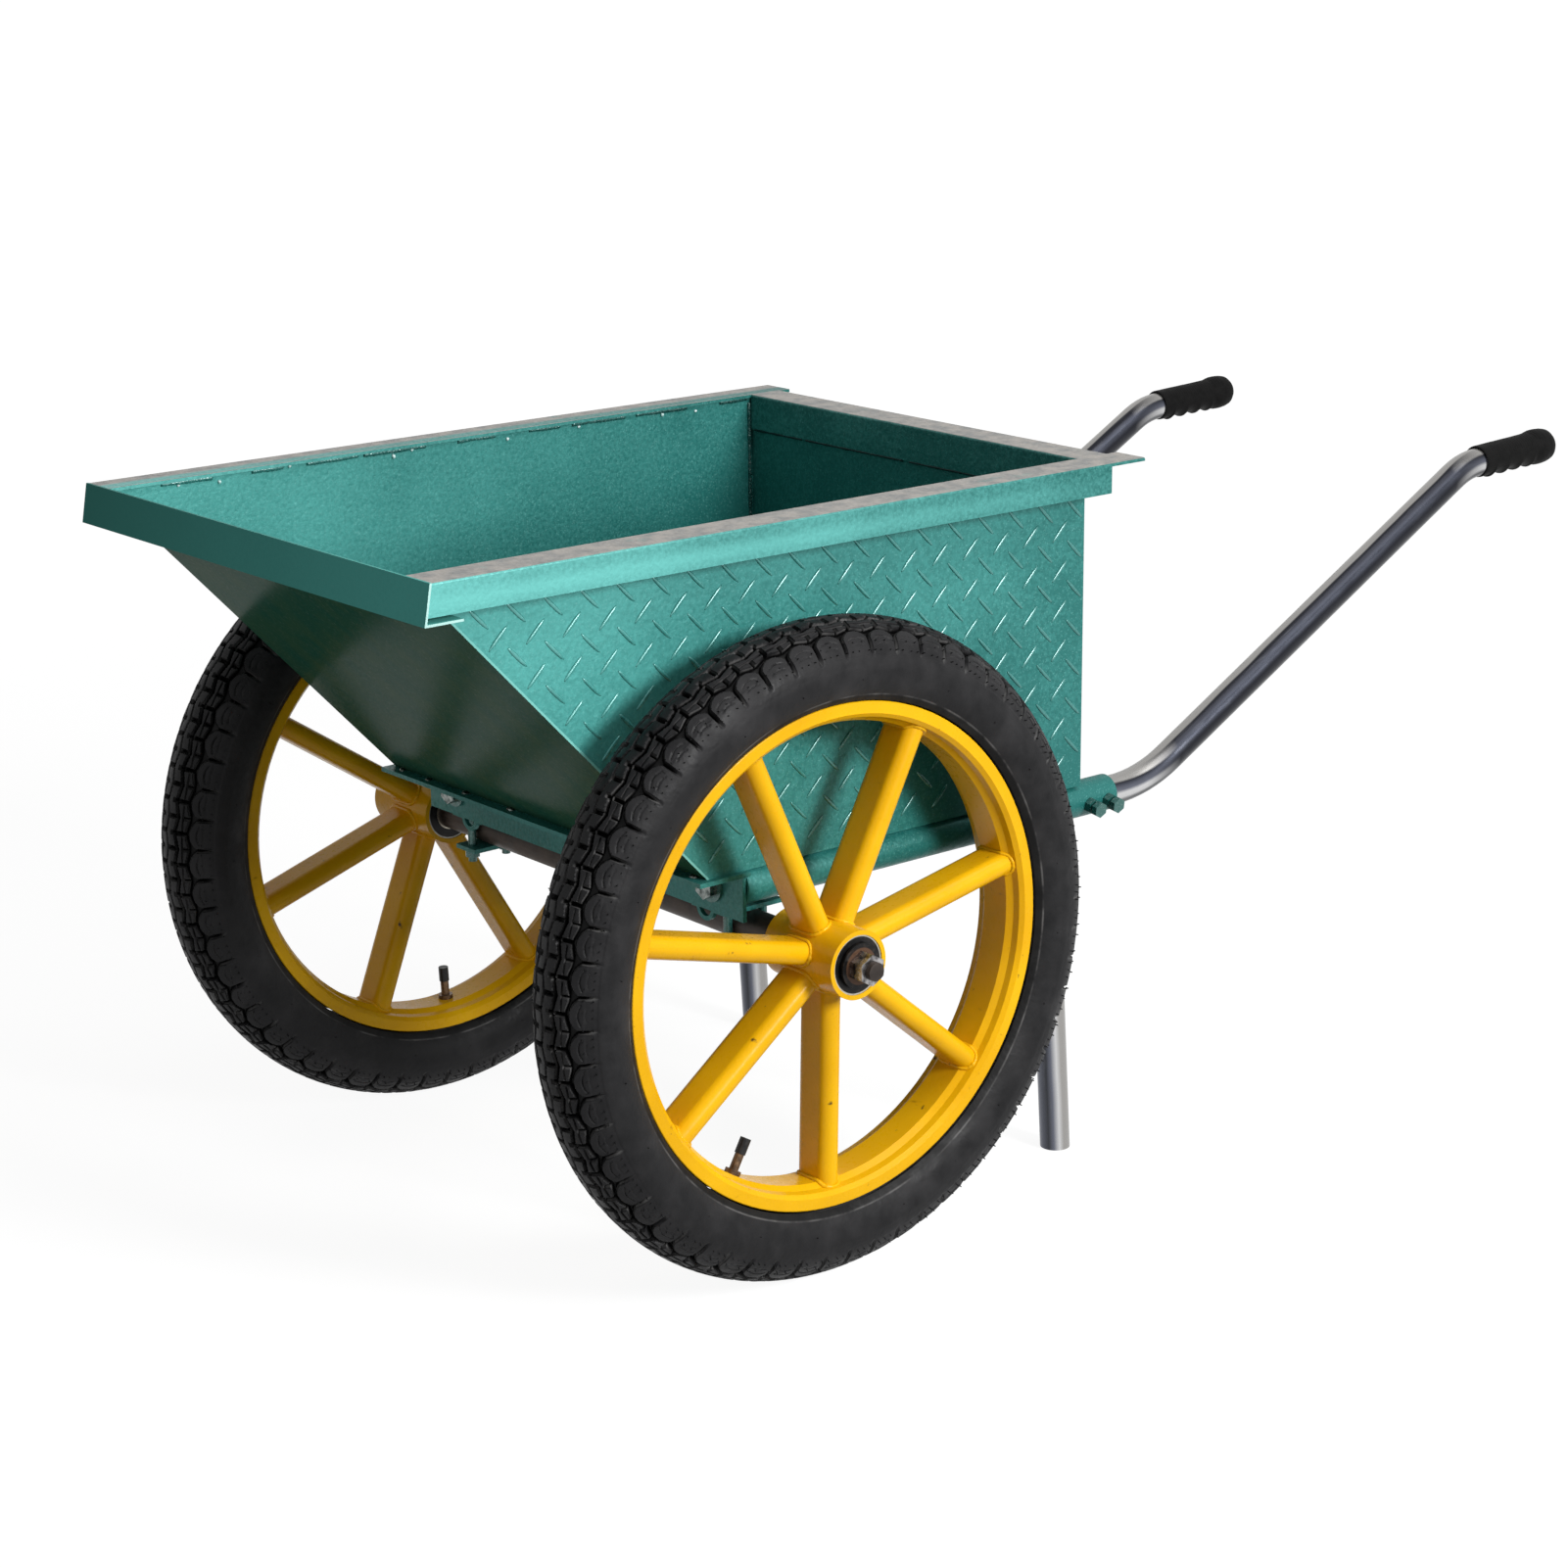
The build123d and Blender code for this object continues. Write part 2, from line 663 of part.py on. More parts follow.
valve_hole = Rot(0, valve_turn, 0) * valve_hole
rim = rim - valve_hole

# Everything outside the rim's inner surface, to shape the spoke ends
rim_edge = [(radius - weld_gap, along) for radius, along in rim_hub_side]
rim_edge_other = [(radius, -along) for radius, along in reversed(rim_edge)]
far_out = rim_diameter
rim_envelope = turned(rim_edge + [(far_out, rim_width), (far_out, -rim_width)] + rim_edge_other)

# Spokes: flat-oval tubes, their broad way along the axle, shaped to the hub and to the rim
half_step = 180.0 / spoke_count
spoke_skin = SlotOverall(spoke_width, spoke_thick)
spoke_bore = SlotOverall(spoke_width - 2 * spoke_wall, spoke_thick - 2 * spoke_wall)
spoke = extrude(Plane.YZ * (spoke_skin - spoke_bore), amount=rim_radius)
spoke = Pos(0, spoke_offset, 0) * spoke
spoke = spoke - Rot(90, 0, 0) * Cylinder(hub_radius + weld_gap, 2 * spoke_width)
spoke = spoke - rim_envelope
wedge_start = weld_gap / sin(radians(half_step))
wedge_end = rim_diameter
wedge_rise = (wedge_end - wedge_start) * tan(radians(half_step))
wedge = side_plate(
    [(wedge_start, 0), (wedge_end, -wedge_rise), (wedge_end, wedge_rise)],
    -spoke_width,
    spoke_width,
)
spoke = max((spoke & wedge).solids(), key=lambda solid: solid.volume)
spokes = [Rot(0, (step + 0.5) * 2 * half_step, 0) * spoke for step in range(spoke_count)]

# Hub: a thick tube bored at both ends for the bearings
bearing_seat = bearing_diameter / 2 + running_fit
seat_depth = bearing_width + bearing_recess
hub_bore = bearing_diameter / 2 - hub_shoulder
half_hub = hub_length / 2
hub = turned(
    [
        (bearing_seat, half_hub),
        (hub_radius, half_hub),
        (hub_radius, -half_hub),
        (bearing_seat, -half_hub),
        (bearing_seat, -half_hub + seat_depth),
        (hub_bore, -half_hub + seat_depth),
        (hub_bore, half_hub - seat_depth),
        (bearing_seat, half_hub - seat_depth),
    ]
)

# Tyre: open casing of round section seated between the rim flanges, grooved round the tread
tyre_radius = tyre_diameter / 2
half_tyre = tyre_width / 2
half_cavity = half_tyre - (tyre_crown_wall + tyre_side_wall) / 2


def section_reach(crown, foot, half_width):
    """Half the height of the oval that has this crown and stands on this foot."""
    return (crown - foot[0]) / (1 + sqrt(1 - (foot[1] / half_width) ** 2))


def section_arcs(crown, foot, half_width):
    """An oval line from a foot, over the crown, to the foot on the other side."""
    reach = section_reach(crown, foot, half_width)
    middle = crown - reach
    half_way = asin((middle - foot[0]) / reach) / 2
    flank = (middle - reach * sin(half_way), half_width * cos(half_way))
    wide = (middle, half_width)
    far_wide = (middle, -half_width)
    far_flank = (flank[0], -flank[1])
    far_foot = (foot[0], -foot[1])
    line = ThreePointArc(foot, flank, wide)
    line += ThreePointArc(wide, (crown, 0), far_wide)
    line += ThreePointArc(far_wide, far_flank, far_foot)
    return line


bead_out = half_rim - rim_sheet - slip_fit
bead_in = bead_out - tyre_side_wall
bead_seat = seat_radius + 0.6 * rim_sheet + slip_fit
bead_heel = bead_seat + rim_sheet
bead_top = rim_radius + 0.02 * tyre_width
lip_clear = rim_radius + slip_fit
wall_foot = lip_clear + rim_sheet / 3
wall_foot_along = tyre_foot_share * half_tyre
section_height = section_reach(tyre_radius, (wall_foot, wall_foot_along), half_tyre)
section_middle = tyre_radius - section_height
crown_inner = tyre_radius - tyre_crown_wall
bead_rise = [
    (bead_top, bead_in),
    (bead_seat, bead_in),
    (bead_seat, bead_out - rim_sheet),
    (bead_heel, bead_out),
    (lip_clear, bead_out),
    (wall_foot, half_rim + slip_fit),
    (wall_foot, wall_foot_along),
]
bead_fall = [(radius, -along) for radius, along in reversed(bead_rise)]
outline = Polyline(*bead_rise)
outline += section_arcs(tyre_radius, bead_rise[-1], half_tyre)
outline += Polyline(*bead_fall)
outline += section_arcs(crown_inner, bead_rise[0], half_cavity)
tyre = revolve(make_face(outline), axis=Axis.Y)
groove_over = 2 * tread_groove_depth
for along in (-shoulder_groove_offset, -tread_groove_offset, tread_groove_offset, shoulder_groove_offset):
    groove_floor = section_middle + section_height * sqrt(1 - (along / half_tyre) ** 2) - tread_groove_depth
    tyre = tyre - turned(
        [
            (groove_floor, along - tread_groove_width / 2),
            (tyre_radius + groove_over, along - tread_groove_width / 2),
            (tyre_radius + groove_over, along + tread_groove_width / 2),
            (groove_floor, along + tread_groove_width / 2),
        ]
    )

# Shoulder lugs: notches across both edges of the tread, half a step apart from side to side
lug_step = 360.0 / lug_count
notch_floor = -tread_groove_depth
notch_top = groove_over
notch_start = shoulder_groove_offset / half_tyre
notch_angles = [notch_start + share * lug_notch_length / half_tyre for share in (0.15, 0.6, 1.05)]


def notch_point(rise, angle):
    """A point of the notch outline, by its rise over the tread."""
    return (section_middle + (section_height + rise) * cos(angle), (half_tyre + rise) * sin(angle))


notch_low = [notch_point(notch_floor, angle) for angle in notch_angles]
notch_high = [notch_point(notch_top, angle) for angle in notch_angles]
notch_outline = ThreePointArc(*notch_low)
notch_outline += Line(notch_low[2], notch_high[2])
notch_outline += ThreePointArc(*reversed(notch_high))
notch_outline += Line(notch_high[0], notch_low[0])
notch = extrude(make_face(notch_outline), amount=lug_notch_width / 2, both=True)
notches = []
for step in range(lug_count):
    notches.append(Rot(0, step * lug_step, 0) * notch)
    notches.append(Rot(0, (step + 0.5) * lug_step, 0) * flip(notch))
tyre = tyre - notches

# Inner tube, filling the casing above the rim
tube_foot = (bead_top, bead_in - slip_fit)
tube_other_foot = (bead_top, slip_fit - bead_in)
tube_line = section_arcs(crown_inner - slip_fit, tube_foot, half_cavity - slip_fit)
tube_face = make_face(tube_line + Line(tube_other_foot, tube_foot))
tube_inner_face = offset(tube_face, amount=-tube_wall)
inner_tube = revolve(tube_face - tube_inner_face, axis=Axis.Y)

# Valve: stem through the well, clamped by a round nut and closed by a cap
well_inner = well_radius - rim_sheet
valve_tip = well_inner - valve_reach
cap_mouth = valve_tip + 0.7 * valve_cap_length
neck_diameter = 0.7 * valve_diameter
valve_stem = rod(valve_diameter, (bead_top - slip_fit, 0, 0), (cap_mouth, 0, 0))
valve_stem = valve_stem + rod(neck_diameter, (cap_mouth, 0, 0), (valve_tip, 0, 0))
valve_nut = rod(valve_nut_diameter, (well_inner, 0, 0), (well_inner - valve_nut_thick, 0, 0))
valve_nut = valve_nut - rod(valve_diameter + 4 * bolt_fit, (0, 0, 0), (rim_radius, 0, 0)) - rim_envelope
valve_cap = rod(valve_cap_diameter, (cap_mouth, 0, 0), (cap_mouth - valve_cap_length, 0, 0))
valve_cap = valve_cap - rod(
    neck_diameter + 2 * bolt_fit,
    (cap_mouth, 0, 0),
    (valve_tip - bolt_fit, 0, 0),
)

valve_place = Rot(0, valve_turn, 0)
hub_place = Pos(0, hub_offset, 0)
wheel_pieces = {
    "tyre": [tyre],
    "inner_tube": [inner_tube],
    "rim": [rim],
    "spokes": spokes,
    "hub": [hub_place * hub],
    "valve_stem": [valve_place * valve_stem],
    "valve_nut": [valve_place * valve_nut],
    "valve_cap": [valve_place * valve_cap],
}
for name, shapes in wheel_pieces.items():
    rolled = [Rot(0, left_wheel_turn, 0) * shape for shape in shapes]
    nodes[name + "_left"] = group([Pos(0, wheel_y, axle_z) * shape for shape in rolled])
    rolled = [Rot(0, right_wheel_turn, 0) * flip(shape) for shape in shapes]
    nodes[name + "_right"] = group([Pos(0, -wheel_y, axle_z) * shape for shape in rolled])
for name, shapes in (("bearing_rings", outer_rings), ("bearing_balls", balls), ("bearing_seals", seals)):
    nodes[name + "_left"] = group(shapes)
    nodes[name + "_right"] = group([flip(shape) for shape in shapes])

# Move the whole barrow so that its box stands centred over the origin
boxes = [shape.bounding_box() for shape in nodes.values()]
front_most = max(box.max.X for box in boxes)
rear_most = min(box.min.X for box in boxes)
middle_x = (front_most + rear_most) / 2
print("axle at X", round(-middle_x, 3))
print("box X", round(rear_most - middle_x, 2), round(front_most - middle_x, 2))

os.makedirs("parts", exist_ok=True)
for name, shape in nodes.items():
    moved = Pos(-middle_x, 0, 0) * shape
    moved.label = name
    export_step(moved, "parts/" + name + ".step")
print(len(nodes), "nodes written")
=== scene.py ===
# %% [markdown]
# # A two-wheeled tub barrow
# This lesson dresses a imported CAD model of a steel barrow. The CAD model is the fixed frame:
# every panel, tube and bolt is already in its place, in metres. Blender adds what a drawing
# office leaves out, which is paint, rubber, tread, weld beads and light.

# %% Load the frame
import json
import math

import bpy
import numpy as np
from mathutils import Matrix, Vector


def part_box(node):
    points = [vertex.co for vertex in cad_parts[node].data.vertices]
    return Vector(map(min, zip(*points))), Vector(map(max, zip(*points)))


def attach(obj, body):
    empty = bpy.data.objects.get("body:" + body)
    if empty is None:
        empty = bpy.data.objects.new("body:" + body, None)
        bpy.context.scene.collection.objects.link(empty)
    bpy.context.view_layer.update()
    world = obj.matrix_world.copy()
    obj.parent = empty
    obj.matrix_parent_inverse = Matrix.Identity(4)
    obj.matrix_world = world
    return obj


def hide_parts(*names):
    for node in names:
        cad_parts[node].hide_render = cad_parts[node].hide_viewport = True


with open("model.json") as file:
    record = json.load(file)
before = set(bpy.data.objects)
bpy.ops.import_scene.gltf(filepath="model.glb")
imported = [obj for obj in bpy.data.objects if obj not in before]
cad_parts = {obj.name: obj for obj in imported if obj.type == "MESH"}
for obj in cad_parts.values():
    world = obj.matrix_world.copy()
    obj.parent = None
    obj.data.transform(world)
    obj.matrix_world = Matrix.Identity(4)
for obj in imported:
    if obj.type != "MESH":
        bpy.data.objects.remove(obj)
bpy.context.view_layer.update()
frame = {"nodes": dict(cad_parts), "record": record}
nodes = frame["nodes"]
spins = {}
for joint in frame["record"]["behaviour"]["joints"]:
    spins[joint["child"]] = Vector(joint["pos_m"])
axle_x = spins["wheel_left"].x
axle_z = spins["wheel_left"].z
wheel_y = abs(spins["wheel_left"].y)
sides = {"left": 1, "right": -1}
MM = 0.001
print("nodes", len(nodes), "axle at", round(axle_x, 4), round(axle_z, 4))

# %% [markdown]
# ## Camera
# A product photographer stands in front of the barrow's left wheel with a short telephoto lens.
# The place and lens below were solved from the ellipses of both wheels and the edges of the tub,
# so the render can be laid over the photograph. Aiming by yaw, pitch and roll keeps it exact.

# %% Camera
scene = bpy.context.scene
camera_from_axle = Vector((1.7855, 2.4200, 1.2302))
camera_yaw = -2.2587
camera_pitch = -0.2791
camera_roll = -0.0091
lens_mm = 79.88
sensor_mm = 36.0

look = Vector((
    math.cos(camera_pitch) * math.cos(camera_yaw),
    math.cos(camera_pitch) * math.sin(camera_yaw),
    math.sin(camera_pitch),
))
right = look.cross(Vector((0, 0, 1))).normalized()
up = right.cross(look)
side_axis = math.cos(camera_roll) * right + math.sin(camera_roll) * up
top_axis = math.cos(camera_roll) * up - math.sin(camera_roll) * right
aim = Matrix((side_axis, top_axis, -look)).transposed().to_4x4()
camera_data = bpy.data.cameras.new("camera")
camera_data.lens = lens_mm
camera_data.sensor_width = sensor_mm
camera_data.sensor_fit = "HORIZONTAL"
camera = bpy.data.objects.new("camera", camera_data)
camera.matrix_world = Matrix.Translation(Vector((axle_x, 0, 0)) + camera_from_axle) @ aim
scene.collection.objects.link(camera)
scene.camera = camera
scene.view_settings.view_transform = "Standard"
print("camera at", [round(c, 3) for c in camera.matrix_world.translation])

# %% [markdown]
# ## Studio
# The barrow stands on a white sweep. The key lamp stands almost square to its left side, so the
# tread-plate panel is bright, the spokes throw clear shadows on it and the tipping slope lies in
# shade. A weak lamp in front keeps that shade open, and a broad one above lights the tub. The
# floor and the world look white to the camera and in reflections, but give the object much less
# light than that, so the colours of the paint keep their depth.

# %% Studio helpers
def node(tree, kind, **settings):
    """Adds a shader node and sets its plain properties."""
    made = tree.nodes.new(kind)
    for name, value in settings.items():
        setattr(made, name, value)
    return made


def white_seen_by(tree):
    """One for rays that show the background: camera, glossy and transmission rays."""
    path = node(tree, "ShaderNodeLightPath")
    glossy = node(tree, "ShaderNodeMath", operation="MAXIMUM")
    tree.links.new(path.outputs["Is Camera Ray"], glossy.inputs[0])
    tree.links.new(path.outputs["Is Glossy Ray"], glossy.inputs[1])
    seen = node(tree, "ShaderNodeMath", operation="MAXIMUM")
    tree.links.new(glossy.outputs[0], seen.inputs[0])
    tree.links.new(path.outputs["Is Transmission Ray"], seen.inputs[1])
    return seen.outputs[0]


# %% World and floor
world_ambient = 0.21
world = bpy.data.worlds.new("studio")
scene.world = world
world.use_nodes = True
sky = world.node_tree
sky.nodes.clear()
sky_out = node(sky, "ShaderNodeOutputWorld")
sky_light = node(sky, "ShaderNodeBackground")
sky_level = node(sky, "ShaderNodeMapRange")
sky_level.inputs["To Min"].default_value = world_ambient
sky_level.inputs["To Max"].default_value = 1.0
sky.links.new(white_seen_by(sky), sky_level.inputs["Value"])
sky.links.new(sky_level.outputs["Result"], sky_light.inputs["Strength"])
sky_light.inputs["Color"].default_value = (1, 1, 1, 1)
sky.links.new(sky_light.outputs[0], sky_out.inputs["Surface"])

floor_half = 30.0
floor_drop = 0.001
floor_grey = (0.16, 0.16, 0.16)
floor_ambient = 0.12
white_near = 0.92
white_far = 0.99
near_distance = 1.5
far_distance = 4.0
floor_mesh = bpy.data.meshes.new("floor")
floor_mesh.from_pydata(
    [(-floor_half, -floor_half, 0), (floor_half, -floor_half, 0),
     (floor_half, floor_half, 0), (-floor_half, floor_half, 0)],
    [], [(0, 1, 2, 3)])
floor = bpy.data.objects.new("floor", floor_mesh)
floor.location.z = -floor_drop
scene.collection.objects.link(floor)

floor_paint = bpy.data.materials.new("white_sweep")
floor_paint.use_nodes = True
sweep = floor_paint.node_tree
sweep.nodes.clear()
sweep_out = node(sweep, "ShaderNodeOutputMaterial")
sweep_diffuse = node(sweep, "ShaderNodeBsdfDiffuse")
sweep_diffuse.inputs["Color"].default_value = (*floor_grey, 1)
sweep_glow = node(sweep, "ShaderNodeEmission")
sweep_place = node(sweep, "ShaderNodeTexCoord")
sweep_away = node(sweep, "ShaderNodeVectorMath", operation="LENGTH")
sweep.links.new(sweep_place.outputs["Object"], sweep_away.inputs[0])
sweep_white = node(sweep, "ShaderNodeMapRange")
sweep_white.inputs["From Min"].default_value = near_distance
sweep_white.inputs["From Max"].default_value = far_distance
sweep_white.inputs["To Min"].default_value = white_near
sweep_white.inputs["To Max"].default_value = white_far
sweep.links.new(sweep_away.outputs["Value"], sweep_white.inputs["Value"])
sweep_level = node(sweep, "ShaderNodeMapRange")
sweep_level.inputs["To Min"].default_value = floor_ambient
sweep.links.new(sweep_white.outputs["Result"], sweep_level.inputs["To Max"])
sweep.links.new(white_seen_by(sweep), sweep_level.inputs["Value"])
sweep.links.new(sweep_level.outputs["Result"], sweep_glow.inputs["Strength"])
sweep_add = node(sweep, "ShaderNodeAddShader")
sweep.links.new(sweep_diffuse.outputs[0], sweep_add.inputs[0])
sweep.links.new(sweep_glow.outputs[0], sweep_add.inputs[1])
sweep.links.new(sweep_add.outputs[0], sweep_out.inputs["Surface"])
floor_mesh.materials.append(floor_paint)
print("floor and world ready")


# %% Lamps
def soft_lamp(name, place, target, size, watts):
    """A square area lamp at a place, turned to face a target."""
    data = bpy.data.lights.new(name, "AREA")
    data.size = size
    data.energy = watts
    lamp = bpy.data.objects.new(name, data)
    lamp.location = place
    lamp.rotation_euler = (Vector(target) - Vector(place)).to_track_quat("-Z", "Y").to_euler()
    scene.collection.objects.link(lamp)
    return lamp


tub_middle = (axle_x - 0.05, 0, 0.45)
soft_lamp("key", (axle_x - 0.6, 3.0, 1.5), tub_middle, 0.8, 101)
soft_lamp("fill", (axle_x + 3.4, 1.6, 1.4), tub_middle, 2.0, 5)
soft_lamp("top", (axle_x - 0.7, 1.4, 3.0), tub_middle, 2.0, 36)
print("lamps", len(bpy.data.lights))


# %% [markdown]
# ## Tools for finishes
# Every finish is one Principled shader fed by noise in object space, which is metres on this
# model, so a scale of 400 means grains of about 2.5 mm. The texture sticks to its piece when a
# wheel turns, because object space turns with it. Images would do too, but nodes need no files.

# %% Finish helpers
coat_roughness = 0.12


def new_finish(name, roughness, metallic=0.0, specular=0.5, coat=0.0):
    """A material with one Principled shader, and the tree to add textures to."""
    material = bpy.data.materials.new(name)
    material.use_nodes = True
    tree = material.node_tree
    tree.nodes.clear()
    out = node(tree, "ShaderNodeOutputMaterial")
    shader = node(tree, "ShaderNodeBsdfPrincipled")
    shader.inputs["Roughness"].default_value = roughness
    shader.inputs["Metallic"].default_value = metallic
    shader.inputs["Specular IOR Level"].default_value = specular
    shader.inputs["Coat Weight"].default_value = coat
    shader.inputs["Coat Roughness"].default_value = coat_roughness
    tree.links.new(shader.outputs[0], out.inputs["Surface"])
    return material, tree, shader


def grain(tree, scale, detail=3.0, stretch=(1, 1, 1)):
    """Noise in object space; scale counts grains per metre, stretch pulls them along an axis."""
    place = node(tree, "ShaderNodeTexCoord")
    squeeze = node(tree, "ShaderNodeMapping")
    squeeze.inputs["Scale"].default_value = stretch
    tree.links.new(place.outputs["Object"], squeeze.inputs["Vector"])
    made = node(tree, "ShaderNodeTexNoise")
    made.inputs["Scale"].default_value = scale
    made.inputs["Detail"].default_value = detail
    tree.links.new(squeeze.outputs["Vector"], made.inputs["Vector"])
    return made.outputs["Fac"]


def facing(tree, direction):
    """How far the surface faces a direction fixed to the piece, from -1 to 1."""
    place = node(tree, "ShaderNodeTexCoord")
    dot = node(tree, "ShaderNodeVectorMath", operation="DOT_PRODUCT")
    dot.inputs[1].default_value = Vector(direction).normalized()
    tree.links.new(place.outputs["Normal"], dot.inputs[0])
    return dot.outputs["Value"]


def place_along(tree, axis):
    """Where a point lies along an axis of the piece, in metres."""
    place = node(tree, "ShaderNodeTexCoord")
    split = node(tree, "ShaderNodeSeparateXYZ")
    tree.links.new(place.outputs["Object"], split.inputs[0])
    return split.outputs[axis]


def remap(tree, value, low, high, to_low=0.0, to_high=1.0):
    """Stretches a value from one range to another, and clamps it."""
    made = node(tree, "ShaderNodeMapRange")
    for socket, number in zip(("From Min", "From Max", "To Min", "To Max"),
                              (low, high, to_low, to_high)):
        made.inputs[socket].default_value = number
    tree.links.new(value, made.inputs["Value"])
    return made.outputs["Result"]


def mix(tree, share, first, second):
    """A colour between two; each is a colour or the output of another node."""
    made = node(tree, "ShaderNodeMix", data_type="RGBA")
    tree.links.new(share, made.inputs["Factor"])
    for socket, colour in ((made.inputs[6], first), (made.inputs[7], second)):
        if isinstance(colour, tuple):
            socket.default_value = (*colour, 1)
        else:
            tree.links.new(colour, socket)
    return made.outputs[2]


def combine(tree, operation, first, second):
    """Two values put together by a sum, a product or the larger of both."""
    made = node(tree, "ShaderNodeMath", operation=operation)
    tree.links.new(first, made.inputs[0])
    tree.links.new(second, made.inputs[1])
    return made.outputs[0]


def bands(tree, value, stops):
    """Colours along a value from -1 to 1."""
    made = node(tree, "ShaderNodeValToRGB")
    spread = made.color_ramp.elements
    while len(spread) < len(stops):
        spread.new(0.5)
    for element, (place, colour) in zip(spread, stops):
        element.position = (place + 1) / 2
        element.color = (*colour, 1)
    tree.links.new(remap(tree, value, -1, 1), made.inputs["Fac"])
    return made.outputs["Color"]


def relief(tree, shader, height, depth):
    """Small bumps on the surface, depth in metres."""
    made = node(tree, "ShaderNodeBump")
    made.inputs["Distance"].default_value = depth
    tree.links.new(height, made.inputs["Height"])
    tree.links.new(made.outputs["Normal"], shader.inputs["Normal"])


finishes = {}

# %% [markdown]
# ## Green hammer paint
# The tub is sprayed with a green enamel that holds fine metal flake. It dries with a pebbled
# skin, so it glitters softly and shows no mirror image. Its colour is painted lighter towards
# the front and darker towards the back and low down, as painted light and shade. Noise at three
# sizes gives the clouding of a hand-held spray gun, a fine mottle and the pebbles, and a touch
# of metal in the shader gives the flake. The same function mixes the greens of the small
# fasteners, the raised bars, the weld beads with their painted shade and glints, and the
# painted shadow in the gaps between sheets.

# %% Green paint
green_deep = (0.012, 0.130, 0.118)
green_light = (0.074, 0.350, 0.322)
green_flake = (0.180, 0.480, 0.450)
tub_back = axle_x - 0.360
tub_front = axle_x + 0.366
# Height band over which the paint is darkened low down, as painted shade.
painted_shade_z = (0.36, 0.60)


def green_paint(name, deep, light, flake, pebble=0.00040, specular=0.30, metallic=0.15,
                gloss=(0.34, 0.54)):
    """Hammer paint with flakes, from a deep green at the back to a light one in front and darker
    low down, as painted light and shade.
    """
    material, tree, shader = new_finish(name, 0.40, metallic, specular)
    cloud = remap(tree, grain(tree, 7, 2.0), 0.35, 0.65, -0.14, 0.14)
    # Painted light: the colour runs lighter towards the front of the tub and darker at the back.
    coat = remap(tree, place_along(tree, "X"), tub_back, tub_front, 0.03, 0.88)
    # Painted shade: the colour turns darker low down on the panels.
    painted_low_shade = remap(tree, place_along(tree, "Z"), *painted_shade_z, -0.16, 0.04)
    coat = combine(tree, "ADD", coat, painted_low_shade)
    mottle = remap(tree, grain(tree, 300, 3.0), 0.35, 0.65, -0.13, 0.13)
    coat = combine(tree, "ADD", coat, mottle)
    colour = mix(tree, combine(tree, "ADD", coat, cloud), deep, light)
    spark = remap(tree, grain(tree, 620, 1.0), 0.60, 0.78, 0.0, 0.35)
    colour = mix(tree, spark, colour, flake)
    tree.links.new(colour, shader.inputs["Base Color"])
    skin = grain(tree, 260, 2.0)
    tree.links.new(remap(tree, skin, 0.3, 0.7, *gloss), shader.inputs["Roughness"])
    relief(tree, shader, skin, pebble)
    finishes[name] = material
    return tree, shader, colour


green_paint("green_paint", green_deep, green_light, green_flake)
green_paint("green_fastener", (0.010, 0.092, 0.080), (0.040, 0.220, 0.200), (0.45, 0.60, 0.58),
            0.00025, 0.8, gloss=(0.20, 0.40))
green_paint("green_bar", (0.024, 0.170, 0.154), (0.076, 0.345, 0.316), (0.110, 0.440, 0.410),
            0.00003, 0.8, gloss=(0.24, 0.30))
# Weld beads: near-black green as painted shade along the seam, bright flecks as painted glints.
green_paint("green_weld", (0.004, 0.040, 0.036), (0.040, 0.220, 0.200), (0.60, 0.85, 0.82),
            0.00030, 0.9, gloss=(0.14, 0.40))
# Near-black green for the painted shadow in the gaps between sheets.
green_paint("gap_painted_shadow", (0.002, 0.016, 0.015), (0.006, 0.040, 0.036), (0.02, 0.10, 0.09),
            0.00020, 0.1, 0.0)
print("greens", sorted(finishes))

# %% [markdown]
# ## Front sheet
# The folded front sheet has the same paint, darker towards its far end as painted shade. Its
# slope hangs over the road and is seen along its skin, where even a dull coat turns into a
# mirror: the far tyre and the floor show in it. A very low specular level keeps that mirror to
# such flat angles. Surfaces that face down take a darker olive green, and sheet edges that face
# sideways above the lip carry a pale painted highlight.

# %% Front paint
fascia_deep = (0.074, 0.350, 0.314)
fascia_light = (0.110, 0.475, 0.425)
fascia_far_shade = (0.056, 0.250, 0.218)
slope_green = (0.026, 0.122, 0.080)
slope_olive = (0.046, 0.134, 0.076)
slope_grit = (0.20, 0.30, 0.25)
edge_painted_highlight = (0.440, 0.700, 0.660)
lip_z = 0.618
fascia_ends = (-0.26, 0.22)
tree, shader, front_green = green_paint(
    "front_paint", fascia_deep, fascia_light, green_flake, 0.00006, 0.0032, 0.0, (0.16, 0.26))
# Surfaces that face down take a darker olive green, clouded by noise and flecked with a paler grit.
downward = remap(tree, facing(tree, (0, 0, -1)), 0.25, 0.55)
slope_clouds = remap(tree, grain(tree, 34, 6.0, (0.6, 1, 0.6)), 0.38, 0.62)
slope_colour = mix(tree, slope_clouds, slope_green, slope_olive)
grit = remap(tree, grain(tree, 300, 3.0), 0.56, 0.74, 0.0, 0.3)
slope_colour = mix(tree, grit, slope_colour, slope_grit)
# Painted shade: the fascia is darker towards its far end.
across = remap(tree, place_along(tree, "Y"), *fascia_ends)
front_green = mix(tree, across, fascia_far_shade, front_green)
front_colour = mix(tree, downward, front_green, slope_colour)
# Painted highlight: sheet edges that face sideways, above the lip, turn pale.
aside = facing(tree, (0, 1, 0))
aside = remap(tree, combine(tree, "MULTIPLY", aside, aside), 0.5, 0.8)
aloft = remap(tree, place_along(tree, "Z"), lip_z, lip_z + 0.002, 0.25, 1.0)
edge = combine(tree, "MULTIPLY", aside, aloft)
tree.links.new(mix(tree, edge, front_colour, edge_painted_highlight), shader.inputs["Base Color"])
print("front paint ready")
